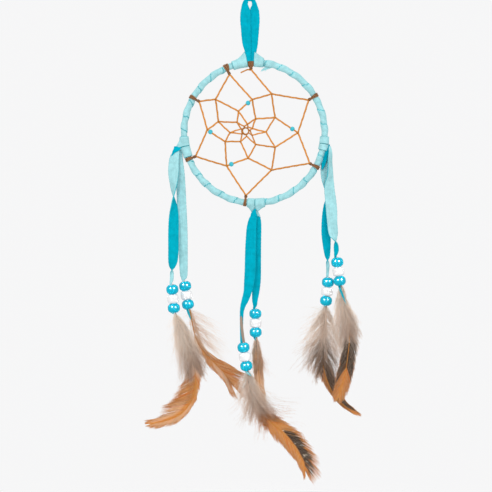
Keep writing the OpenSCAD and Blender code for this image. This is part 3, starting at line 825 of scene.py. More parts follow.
def cuffs():
    """The light strip that goes round the hoop where each part is hitched to it."""
    made = {
        "loop_hitch": [(108, 95.6, [[95.6, 5.6], [98, 3.4], [102, 0.9], [105, 0.1], [108, 0]], 0.12),
                       (90.4, 82.4, [[82.4, 0], [84, 0.7], [87, 2.3], [89, 3.8], [90.4, 5.0]], -0.1)],
        "left_hitch": [(183.3, 191.2, [[183.3, 0], [186, 0.4], [188.6, 2.4], [191.2, 5.0]], 0.1),
                       (191.5, 200.2, [[191.5, 1.4], [194, 0.5], [197, 0], [200.2, 0]], 0.0)],
        "bottom_hitch": [
            (264.2, 270.3, [[264.2, 0], [265.6, 0.4], [267.6, 3.2], [268.6, 2.7], [270.3, 1.0]], 0.1),
            (270.5, 278.5, [[270.5, 1.0], [272.8, 3.1], [274.4, 1.7], [276.4, 0.6], [278.5, 0]], -0.1)],
        "right_hitch": [(345.6, 350.6, [[345.6, 0.2], [348, 0.9], [350.6, 0.7]], 0.0),
                        (350.9, 356.8, [[350.9, 0.6], [353, 0.3], [356.8, 0]], 0.0)],
    }
    for s, (node, bands) in enumerate(made.items()):
        shape = Shape()
        for k, (start, end, peak, lean) in enumerate(bands):
            add_cuff(shape, start, end, peak, lean, seed=700 + 10 * s + k)
        piece = shape.piece(node + "_cuff", SUEDE_LIGHT)
        take_place(piece, node, "hoop")


def hanging_loop():
    """The doubled strip from the knot to the hoop: two runs side by side that close together at the neck."""
    turn_z, swing_z, seam_z = -33.0, -38.6, -35.8
    # rows of left edge, right edge, y, z and twist
    left = [[-3.4, -0.5, -0.2, 3.4, 24], [-4.6, -1.2, -0.3, 0.8, 16], [-5.8, -1.3, -0.4, -1.9, 8],
            [-6.5, -0.1, -0.5, -5.1, 4], [-6.9, 0.5, -0.55, -8.3, 0], [-7.0, 0.7, -0.55, -12.9, 0],
            [-6.5, 0.7, -0.55, -19, -3], [-6.0, 0.8, -0.55, -25.1, -5], [-5.2, 0.9, -0.5, -30.5, -4],
            [-4.0, 0.8, -0.6, -34.3, 0], [-3.0, 0.8, -1.4, -38.1, 0], [-2.4, 0.7, -2.7, -40.8, 0],
            [-1.7, 0.6, -3.3, -42.9, 0]]
    right = [[0.5, 3.2, 0.2, 3.4, -24], [1.2, 4.2, 0.3, 0.8, -16], [1.4, 5.3, 0.4, -1.9, -8],
             [0.1, 6.5, 0.5, -5.1, -4], [-0.2, 6.9, 0.5, -8.3, 0], [0.1, 7.1, 0.5, -12.9, 0],
             [0.1, 6.7, 0.5, -19, 3], [0.1, 6.2, 0.5, -25.1, 4], [0.2, 5.7, 0.5, -30.5, 3],
             [0.2, 5.0, 0.4, -34.3, 2], [0.3, 4.0, -0.35, -38.1, 0], [0.4, 3.3, -1.7, -40.8, 0],
             [0.5, 2.8, -2.8, -42.9, 0]]
    upper, lower = Shape(), Shape()
    for k, rows in enumerate((left, right)):
        rows = [[(a + b) / 2, y, z, b - a, twist] for a, b, y, z, twist in rows]
        curve = even(smooth(rows, 8), 0.4)
        split = int(np.argmin(np.abs(curve[:, 2] - seam_z)))
        points, numbers = strip_rings(curve, SUEDE_T, curl=-0.28, wobble=0.14, seed=40 + 7 * k)
        for shape, part in ((upper, slice(0, split + 1)), (lower, slice(split, None))):
            own = {n: np.broadcast_to(v, points.shape[:2])[part][None] for n, v in numbers.items()}
            shape.add(points[part], **own)
    top = upper.piece("hanging_strip", SUEDE_DARK)
    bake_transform(top)
    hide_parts("loop_strap")
    # the doubled strip narrows towards both ends, so its area is that of a smaller rectangle
    neck = lower.piece("hanging_strip_neck", SUEDE_DARK)
    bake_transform(neck)
    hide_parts("loop_neck")


def loop_knot():
    """An overhand knot in the doubled strip: two slanting wraps, and the two cut ends above it."""
    shape = Shape()
    top_z = box_mm("loop_knot")[1][2]
    middle_z = 4.9
    for k, (tilt, wide, lift) in enumerate(((24, 3.1, -0.9), (-27, 3.45, 0.9), (8, 3.7, 0.1))):
        turn = np.linspace(0, 2 * math.pi, 73)
        t = math.radians(tilt)
        flat = np.stack([wide * np.cos(turn), 0.78 * wide * np.sin(turn), 0 * turn], -1)
        path = np.column_stack([flat[:, 0] * math.cos(t), flat[:, 1], flat[:, 0] * math.sin(t)])
        path = path + [0, 0, middle_z + lift]
        rows = np.column_stack([path, 4.2 + 0.5 * np.sin(turn + k), 9 * np.sin(2 * turn + k)])[:-1]
        across = np.array([-math.sin(t), 0, math.cos(t)])
        points, numbers = strip_rings(np.vstack([rows[-1:], rows, rows[:1]]), 1.1, across=across,
                                      columns=9, curl=-0.55, wobble=0.1, seed=60 + 5 * k)
        own = {n: np.broadcast_to(v, points.shape[:2])[1:-1][None] for n, v in numbers.items()}
        shape.add(points[1:-1], closed=True, **own)
    for k, side in enumerate((-1, 1)):
        rows = [[side * 0.9, side * 0.5, 5.0, 3.4, side * 20], [side * 1.6, side * 0.7, 9.0, 4.6, side * 12],
                [side * 2.6, side * 0.9, 13.0, 5.6, side * 4],
                [side * 3.1, side * 1.2, top_z - 1.2, 5.7, -side * 6],
                [side * 3.3, side * 1.3, top_z - 0.2, 4.8, -side * 8]]
        add_strip(shape, even(smooth(rows, 8), 0.5), SUEDE_T, curl=0.35, wobble=0.2, seed=80 + 6 * k)
    core = [[0, 0, 0.9, 3.2, 0], [0, 0, 4, 4.4, 0], [0, 0, 8.6, 4.0, 0]]
    add_strip(shape, even(smooth(core, 6), 0.5), 2.6, columns=9, seed=95)
    piece = shape.piece("loop_knot_wraps", SUEDE_DARK)
    take_place(piece, "loop_knot", "hanging_loop")


# Each pair's fold, as rows of [x, y, z, width] from its front end over the top to its rear end
FOLDS = {
    "left": [[-56.4, -2.1, -111.0, 0.5], [-54.9, -2.0, -108.3, 2.1], [-53.3, -1.7, -106.5, 3.9],
             [-52.3, -1.3, -105.2, 5.3], [-52.2, -0.3, -104.5, 4.6], [-51.6, 0.9, -104.8, 4.2],
             [-50.9, 1.3, -106.4, 3.2], [-50.6, 1.4, -108.4, 2.6], [-50.4, 1.4, -110.4, 3.4]],
    "bottom": [[3.2, -1.3, -155.2, 4.9], [2.8, -1.3, -153.4, 4.4], [3.1, -1.2, -151.6, 3.2],
               [3.7, -0.8, -150.1, 1.5], [3.9, -0.1, -149.5, 0.9], [4.1, 0.7, -150.1, 1.6],
               [4.5, 1.2, -151.8, 3.2], [4.9, 1.3, -153.4, 4.2], [5.1, 1.3, -155.2, 4.9]],
    # the right fold's front run tapers down to z -121, left of the straps: its dark suede face is painted
    # shade, standing for the shadow between the ring and the light strap
    "right": [[52.2, -0.2, -121.0, 0.6], [52.9, -0.2, -118.0, 2.3], [53.7, -0.3, -114.0, 3.6],
              [54.7, -0.4, -110.0, 3.6], [56.2, -0.5, -106.0, 2.3], [57.1, -0.3, -103.6, 1.2],
              [57.3, 0.5, -103.1, 1.2], [57.0, 1.2, -104.6, 2.0], [56.4, 1.3, -107.0, 3.0],
              [55.8, 1.3, -109.4, 3.6]],
}
TOP_Y, BEAD_Y = 1.3, 3.2


def folds():
    """The short doubled part under each hitch, folded over so that its two ends hang as the straps."""
    for s, (pair, rows) in enumerate(FOLDS.items()):
        curve = even(smooth([[*row, 0] for row in rows], 6), 0.3)
        shape = Shape()
        add_strip(shape, curve, SUEDE_T * 0.9, across=-ACROSS, curl=0.12, wobble=0.08, seed=800 + 5 * s)
        piece = shape.piece(pair + "_fold", SUEDE_DARK)
        take_place(piece, pair + "_bight", pair + "_bight")


# Straps: which face is to the front at twist 0, rows of [x, z, width, twist] down to the lace, how far the
# lace's tip shows under the beads and which way it leans
STRAPS = {
    "left_front": (SUEDE_LIGHT, [
        [-52.5, -106.4, 3.0, 0], [-53.6, -110, 5.6, 0], [-54.7, -114, 7.0, 0], [-55.1, -122, 7.6, 4],
        [-55.0, -130, 7.0, 34], [-55.0, -139, 6.8, 80], [-54.6, -148, 7.0, 128],
        [-54.9, -158, 7.4, 168], [-55.1, -168, 7.6, 180], [-55.1, -178, 7.5, 180],
        [-55.4, -186, 7.0, 184], [-56.0, -191, 5.0, 210], [-56.2, -196, 2.8, 330],
        [-56.3, -200, 2.6, 360]], 0.3, 0.0),
    "left_rear": (SUEDE_LIGHT, [
        [-50.8, -107, 2.6, 0], [-50.8, -110.4, 4.0, 0], [-50.9, -116, 5.4, 0], [-50.4, -124, 6.4, 0],
        [-49.8, -136, 6.6, 2], [-49.2, -150, 6.8, -3], [-48.6, -164, 6.8, -2], [-48.4, -178, 6.6, 3],
        [-48.1, -190, 6.0, 0], [-47.9, -198, 5.0, 0]], 8.6, 1.4),
    "bottom_front": (SUEDE_DARK, [
        [3.0, -154.6, 4.9, 0], [1.9, -158, 6.0, 0], [1.1, -163, 6.8, 0], [0.8, -168, 7.2, 0],
        [0.4, -180, 7.7, 2], [0.1, -194, 7.8, -3], [-0.6, -202, 7.2, 6], [-1.6, -209, 6.0, -8],
        [-3.4, -215, 5.0, -4], [-4.9, -219, 3.8, 6], [-5.8, -224, 2.8, 20], [-6.0, -232, 2.3, 10]], 4.4, 3.4),
    "bottom_rear": (SUEDE_DARK, [
        [5.1, -154.6, 4.8, 0], [5.3, -158, 5.6, 0], [5.4, -162, 5.9, 0], [5.0, -174, 6.4, -2],
        [4.9, -188, 6.4, 3], [4.9, -200, 6.2, 0], [4.3, -209, 5.4, -4], [3.7, -215, 4.2, 0],
        [3.7, -219, 3.0, 0]], 3.0, 0.6),
    "right_front": (SUEDE_LIGHT, [
        [57.6, -104.2, 1.6, -20], [58.0, -109.2, 3.6, -40], [57.7, -114, 6.0, -58],
        [57.9, -120, 6.8, -60], [57.9, -126, 7.2, -52], [57.4, -131, 7.3, -24], [57.4, -136, 7.5, -6],
        [58.2, -143, 7.9, 0], [58.9, -151, 8.0, 2], [59.3, -159, 7.3, 0], [60.1, -167, 6.8, -8],
        [61.2, -171, 4.8, -50], [62.0, -175, 4.0, -130], [62.2, -180, 3.4, -176]], 14.5, 3.2),
    "right_rear": (SUEDE_DARK, [
        [56.0, -108.6, 3.8, 180], [55.0, -114, 5.4, 180], [54.2, -120, 6.2, 180],
        [54.6, -127, 5.8, 176], [56.2, -134, 5.6, 150], [57.0, -141, 5.8, 70], [56.2, -148, 6.2, 14],
        [55.4, -156, 6.6, 0], [55.2, -166, 6.8, -2], [55.6, -174, 6.0, 4], [56.0, -180, 4.8, 0],
        [56.2, -184, 3.6, 30], [56.3, -188, 2.6, 140], [56.5, -191, 2.4, 180]], 1.0, -0.6),
}
LACE_W, LACE_SHIFT, QUILL_SHIFT = 1.7, -0.85, 0.75
TURNED_TIPS = ("left_rear", "bottom_front")  # laces that turn over inside the beads


def strap_rows(strand):
    """Whole run of a strap: the hanging strip, its lace through the beads, and the lace's tip."""
    _, rows, tip, tip_lean = STRAPS[strand]
    middle, up = strand_axis(strand)
    over = unit(np.cross(up, FRONT))  # towards +X
    side = np.sign(middle[1])
    top_z = rows[0][1]
    bead_top = middle + up * (STACK_HALF + 0.6) + over * LACE_SHIFT
    made = []
    for x, z, width, twist in rows:
        share = (z - top_z) / (bead_top[2] - top_z)
        made.append([x, side * (TOP_Y + (BEAD_Y - TOP_Y) * share), z, width, twist])
    last = rows[-1][3]
    for share, high in ((0, STACK_HALF + 0.6), (0.5, 0), (1, -STACK_HALF)):
        at = middle + up * high + over * LACE_SHIFT
        made.append([*at, LACE_W, last + share * (180 if strand in TURNED_TIPS else 0)])
    last = made[-1][4]
    low = middle - up * (STACK_HALF + tip * 0.5) + over * (LACE_SHIFT + tip_lean * 0.4)
    end = middle - up * (STACK_HALF + tip) + over * (LACE_SHIFT + tip_lean)
    if side < 0:
        low, end = low + FRONT * 2.2, end + FRONT * 3.4
    return np.array([*made, [*low, LACE_W * 0.8, last], [*end, 0.3, last]])


def straps():
    for s, strand in enumerate(STRANDS):
        paint, _, _, _ = STRAPS[strand]
        rows = even(smooth(strap_rows(strand), 8), 0.5)
        curl = 0.3 if strand.endswith("front") else -0.3
        shape = Shape()
        add_strip(shape, rows, SUEDE_T, curl=curl * 0.8, wobble=0.12, seed=900 + 8 * s)
        piece = shape.piece(strand + "_strip", paint)
        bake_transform(piece)
        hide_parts(strand + "_strap")


cuffs()
hanging_loop()
loop_knot()
folds()
straps()

# ---------------------------------------------------------------- feathers


def spine_of(strand, quill, points, bow):
    """The feather's shaft from its end in or above the beads to its tip, and where it leaves the beads."""
    middle, up = strand_axis(strand)
    over = unit(np.cross(up, FRONT))
    side = np.sign(middle[1])
    inside = [middle + up * h + over * QUILL_SHIFT for h in (STACK_HALF + 0.8, 0, -STACK_HALF)]
    above = [[x, middle[1] + 0.5 * side, z] for x, z in quill]
    exit_z, tip_z = inside[-1][2], points[-1][1]
    rest = []
    for x, z in points:
        share = (z - exit_z) / (tip_z - exit_z)
        rest.append([x, side * (BEAD_Y + 2.2 * min(1, share * 5) + bow * share**2), z])
    curve = even(smooth(np.array([*above, *inside, *rest]), 14), 0.4)
    gap = np.linalg.norm(curve - inside[-1], axis=1)
    return curve, int(np.argmin(gap))


def barb_paths(spine, share, side, length, root, tip, tilt, droop, wiggle, rng):
    """Centre lines of barbs. share is each root's place on the spine and side is -1 or 1. Angles are degrees:
    root and tip from the shaft's direction, tilt out of the feather's plane."""
    far = lengths(spine)
    at = share * far[-1]
    base = np.stack([np.interp(at, far, spine[:, k]) for k in range(3)], -1)
    way = unit(np.stack([np.interp(at, far, column) for column in ways(spine).T], -1))
    beside = unit(np.cross(FRONT, way)) * side[:, None]
    out = np.cross(way, beside) * side[:, None]
    t = np.linspace(0, 1, STEPS)[None, :, None]
    angle = np.radians(root[:, None, None] + (tip - root)[:, None, None] * t**0.8)
    lean = np.radians(tilt)[:, None, None] * (1 - 0.6 * t)
    flat = beside[:, None] * np.cos(lean) + out[:, None] * np.sin(lean)
    move = np.cos(angle) * way[:, None] + np.sin(angle) * flat
    move = unit(move + droop * t * np.array([0, 0, -1.0]))
    path = np.cumsum(move, axis=1) - move[:, :1]
    path = base[:, None] + path * (length / (STEPS - 1))[:, None, None]
    for k, direction in enumerate((beside, out)):
        phase = rng.uniform(0, 6.3, (len(share), 1, 1))
        beat = rng.uniform(0.8, 2.6, (len(share), 1, 1))
        path = path + wiggle[:, None, None] * t * np.sin(phase + beat * 6.3 * t) * direction[:, None]
    return path


DOWN_DEPTH = 9.0  # how far the down can stand out in front of and behind the shaft
HAIR = 2.3  # length of a side hair
BARB_GAP = 0.24  # distance between the roots of a vane's barbs
STEPS = 15  # points along a barb
LOCK = 9  # how many barbs of down make one lock


def add_down(shape, spine, spec, paint, rng):
    """Soft barbs with fine side hairs."""
    count = spec["count"]
    low, high = spec["from_to"]
    share = np.sort(low + (high - low) * rng.uniform(0, 1, count) ** 0.9)
    side = rng.choice([-1.0, 1.0], count, p=[spec.get("left", 0.5), 1 - spec.get("left", 0.5)])
    left, right, root, tip = profile(spec["rows"], share)
    length = np.where(side < 0, left, right) * rng.triangular(0.42, 0.92, 1.36, count)
    locks = 0.22 * wave(share * 90, int(rng.integers(999)), 5.5) * side
    root = root * (rng.uniform(0.7, 1.3, count) + locks)
    tip = tip * (rng.uniform(0.4, 1.6, count) + 2 * locks)
    tilt = rng.normal(0, spec.get("tilt", 24), count)
    wiggle = 0.045 * length * rng.uniform(0.4, 1.6, count)
    path = barb_paths(spine, share, side, length, root, tip, tilt, spec.get("droop", 0.25), wiggle, rng)
    path = path + 0.45 * np.sin(np.radians(tilt))[:, None, None] * FRONT
    # barbs that grow near each other cling together in locks
    order = np.lexsort((share, side))
    leader = np.empty(count, int)
    leader[order] = order[np.arange(count) // LOCK * LOCK]
    pull = rng.uniform(0.3, 0.85, count)[:, None, None] * np.linspace(0, 1, STEPS)[None, :, None] ** 0.7
    path = path + pull * (path[leader] - path)
    level = np.interp(share * lengths(spine)[-1], lengths(spine), spine[:, 1])[:, None]
    path[..., 1] = level + DOWN_DEPTH * np.tanh((path[..., 1] - level) / DOWN_DEPTH)
    t = np.linspace(0, 1, STEPS)[None]
    radii = spec.get("thick", 0.085) * (1 - 0.8 * t) * rng.uniform(0.75, 1.25, (count, 1))
    tone = rng.uniform(-1, 1, count)
    tone = (0.7 * tone[leader] + 0.3 * tone)[:, None, None]
    numbers = paint(share[:, None, None], side[:, None, None], t[..., None], tone)
    place = {"along": share[:, None, None] * 90, "across": t[..., None] * 20 + tone * 9, "tone": tone}
    shape.add(tube_rings(path, radii, 3), **place, **numbers)
    # side hairs: thin three-sided spikes
    hairs = spec.get("hairs", 22)
    pick = rng.uniform(0.04, 0.93, (count, hairs)) * (STEPS - 1)
    low_i = pick.astype(int)
    part = (pick - low_i)[..., None]
    rows = np.arange(count)[:, None]
    root_at = path[rows, low_i] * (1 - part) + path[rows, low_i + 1] * part
    way = unit(path[rows, low_i + 1] - path[rows, low_i])
    aside = unit(np.cross(way, rng.normal(0, 1, way.shape)))
    open_angle = np.radians(rng.uniform(22, 58, (count, hairs, 1)))
    reach = HAIR * rng.uniform(0.35, 1.2, (count, hairs, 1)) * (1 - 0.5 * pick[..., None] / STEPS)
    end_at = root_at + reach * (np.cos(open_angle) * way + np.sin(open_angle) * aside)
    spikes = np.stack([root_at, end_at], -2).reshape(-1, 2, 3)
    wide = np.tile([0.04, 0.008], (len(spikes), 1)) * spec.get("fine", 1.0)
    hair_t = (pick / (STEPS - 1)).reshape(-1, 1, 1)
    spread = [np.repeat(v, hairs)[:, None, None] for v in (share, side, tone.ravel())]
    numbers = paint(spread[0], spread[1], hair_t, spread[2])
    place = {"along": spread[0] * 90, "across": hair_t * 20, "tone": spread[2]}
    shape.add(tube_rings(spikes, wide, 3), **place, **numbers)


def add_vane(shape, spine, spec, paint, rng):
    """Flat barbs that lie edge to edge, with a split here and there."""
    far = lengths(spine)[-1]
    low, high = spec["from_to"]
    count = int(far * (high - low) / BARB_GAP)
    for sign, columns in ((-1.0, (0, 1, 2)), (1.0, (3, 4, 5))):
        share = np.linspace(low, high, count) + rng.normal(0, 0.1 / far, count)
        side = np.full(count, sign)
        every = profile(spec["rows"], share)
        width, root, tip = (every[k] for k in columns)
        breaks = rng.uniform(low, high, spec["splits"])
        borders = np.sort(np.concatenate([[low - 0.01, high + 0.01], breaks]))
        clump = np.clip(np.searchsorted(borders, share) - 1, 0, len(borders) - 2)
        inside = (share - borders[clump]) / np.maximum(borders[clump + 1] - borders[clump], 1e-6)
        fan = (0.5 - inside) * rng.uniform(3, spec.get("fan", 9), len(borders))[clump]
        mean = np.radians((root + tip) / 2)
        uneven = 1 + 0.05 * wave(share * far, int(rng.integers(999)), 9.0) + rng.normal(0, 0.045, count)
        length = width / np.sin(mean) * uneven * (1 - 0.15 * np.abs(2 * inside - 1) ** 6)
        tilt = spec["cup"] + rng.normal(0, 1.8, count)
        path = barb_paths(spine, share, side, length, root + fan * 0.3, tip + fan, tilt, 0.0,
                          0.006 * length, rng)
        t = np.linspace(0, 1, STEPS)[None]
        swell = wave(share * far, int(rng.integers(999)), 5.0)
        tone = np.clip(0.5 * swell + rng.normal(0, 0.45, count), -1, 1)
        tone = tone[:, None, None]
        radii = 0.25 * (1 - 0.86 * t**2) * np.ones((count, 1))
        rings = tube_rings(path, radii, 4, flat=0.24)
        numbers = paint(share[:, None, None], side[:, None, None], t[..., None], tone)
        place = {"along": share[:, None, None] * 90, "across": t[..., None] * 20 + tone * 9, "tone": tone}
        shape.add(rings, **place, **numbers)


def patch(share, t, along, out, ragged):
    """A soft-edged patch between two places on the shaft and two distances out along the barbs."""
    at = share + ragged
    lengthwise = step_up(at, along[0], along[0] + 0.06) * (1 - step_up(at, along[1] - 0.05, along[1]))
    beyond = step_up(t + 2 * ragged, out[1] - 0.1, out[1] + 0.1)
    return lengthwise * step_up(t, out[0] - 0.05, out[0] + 0.05) * (1 - beyond)


def feather(strand, spec):
    rng = np.random.default_rng(spec["seed"])
    spine, leaves = spine_of(strand, spec["quill"], spec["shaft"], spec.get("bow", 1.2))
    free = spine[leaves:]
    far = lengths(spine)
    out = lengths(free)[-1]

    def paint(share, side, t, tone):
        numbers = spec["paint"](share, side, t, tone)
        return {k: np.clip(v, 0, 1) for k, v in numbers.items()}

    shaft = Shape()
    left_over = np.clip((far - far[leaves]) / out, 0, 1)
    radius = np.interp(left_over, [0, 0.25, 1], [0.5, 0.36, 0.09])
    radius[:leaves] = np.where(np.arange(leaves) < 0.6 * leaves, 1.0, 0.62) if spec["quill"] else 0.62
    radius[:6] = np.linspace(0.3, radius[6], 6)
    shade = 1 - step_up(left_over, spec["horn"] - 0.1, spec["horn"] + 0.1)
    shaft.add(tube_rings(spine, radius, 10, flat=0.85), along=far[None, :, None],
              around=np.linspace(0, 6, 10), shade=shade[None, :, None])
    pieces = [shaft.piece(strand + "_shaft", HORN)]
    for k, part in enumerate(spec["down"]):
        down = Shape()
        add_down(down, free, part, paint, rng)
        pieces.append(down.piece(f"{strand}_down_{k + 1}", PLUMAGE))
    vane = Shape()
    add_vane(vane, free, spec["vane"], paint, rng)
    pieces.append(vane.piece(strand + "_vane", PLUMAGE))
    for piece in pieces:
        take_place(piece, strand + "_feather", strand + "_strand")


# Each paint function takes a barb's place on the shaft, its side, the place along it and its own tone

def paint_left_front(share, side, t, tone):
    rag = 0.02 * tone
    warm = step_up(share + 0.05 * t + rag, 0.42, 0.52)
    middle = patch(share, t, (0.62, 0.98), (0.2, 0.75), 2 * rag)
    return {"shade": 0.06 + 0.7 * step_up(share + 0.25 * t, 0.22, 0.5) + 0.2 * tone, "warm": warm,
            "dark": 0.22 * warm * patch(share, t, (0.44, 0.7), (-0.2, 0.3), rag),
            "pale": 0.2 * middle * warm + 0.25 * warm * step_up(t, 0.85, 1.0)}


def paint_left_rear(share, side, t, tone):
    far = step_up(share, 0.36, 0.52)
    inner = patch(share, t, (0.62, 0.98), (0.1, 0.7), 0.03 * tone) * (side < 0)
    return {"shade": 0.3 * inner, "warm": 0.9 + 0.06 * far - 0.3 * inner + 0.1 * tone,
            "dark": 0.14 * patch(share, t, (0.5, 1), (-0.2, 0.3), 0),
            "pale": (0.35 + 0.3 * t) * (1 - far) + 0.12 * step_up(t, 0.85, 1)}


def paint_bottom_front(share, side, t, tone):
    rag = 0.03 * tone
    warm = step_up(share + 0.12 * t + rag, 0.34, 0.48)
    spot = patch(share, t, (0.56, 0.97), (0.1, 0.66), 0.05 * tone) * (side > 0)
    spot = spot + 0.6 * patch(share, t, (0.56, 0.6), (0.3, 0.6), 0.04 * tone) * (side < 0)
    specks = (np.sin(61 * share + 25 * t + 9 * tone) > 0.995) * spot
    return {"shade": 0.3 + 0.45 * step_up(share + 0.2 * t, 0.15, 0.5) + 0.25 * tone, "warm": warm,
            "dark": 0.98 * spot, "pale": 0.7 * specks + 0.15 * warm * step_up(t, 0.85, 1)}


def paint_bottom_rear(share, side, t, tone):
    warm = 0.35 + 0.6 * step_up(share + 0.1 * t + 0.03 * tone, 0.08, 0.3)
    return {"shade": 0.2 + 0.2 * tone, "warm": warm, "dark": 0, "pale": 0.3 * warm + 0.1 * t}


def paint_right_front(share, side, t, tone):
    rag = 0.04 * tone
    dark = patch(share, t, (0.4, 0.76), (-0.2, 0.88), rag) * step_up(share + 0.1 * t, 0.42, 0.54)
    bars = 0.25 * patch(share, t, (0.74, 0.84), (0.25, 0.8), 3 * rag)
    warm = step_up(share + rag, 0.46, 0.62)
    return {"shade": 0.14 + 0.42 * step_up(share + 0.2 * t, 0.15, 0.5) + 0.22 * tone, "warm": warm,
            "dark": (0.86 + 0.14 * tone) * dark + bars + 0.14 * warm,
            "pale": 0.08 * warm * step_up(t, 0.9, 1)}


def paint_right_rear(share, side, t, tone):
    rag = 0.03 * tone
    dark = patch(share, t, (0.46, 0.95), (0.0, 0.86), rag) * np.where(side > 0, 1.0, 0.5)
    warm = step_up(share + rag, 0.48, 0.6)
    return {"shade": 0.25 + 0.75 * step_up(share + 0.2 * t, 0.22, 0.55) + 0.25 * tone, "warm": warm,
            "dark": 0.94 * dark + 0.6 * patch(share, t, (0.26, 0.56), (-0.2, 0.7), rag),
            "pale": 0.1 * step_up(t, 0.85, 1)}


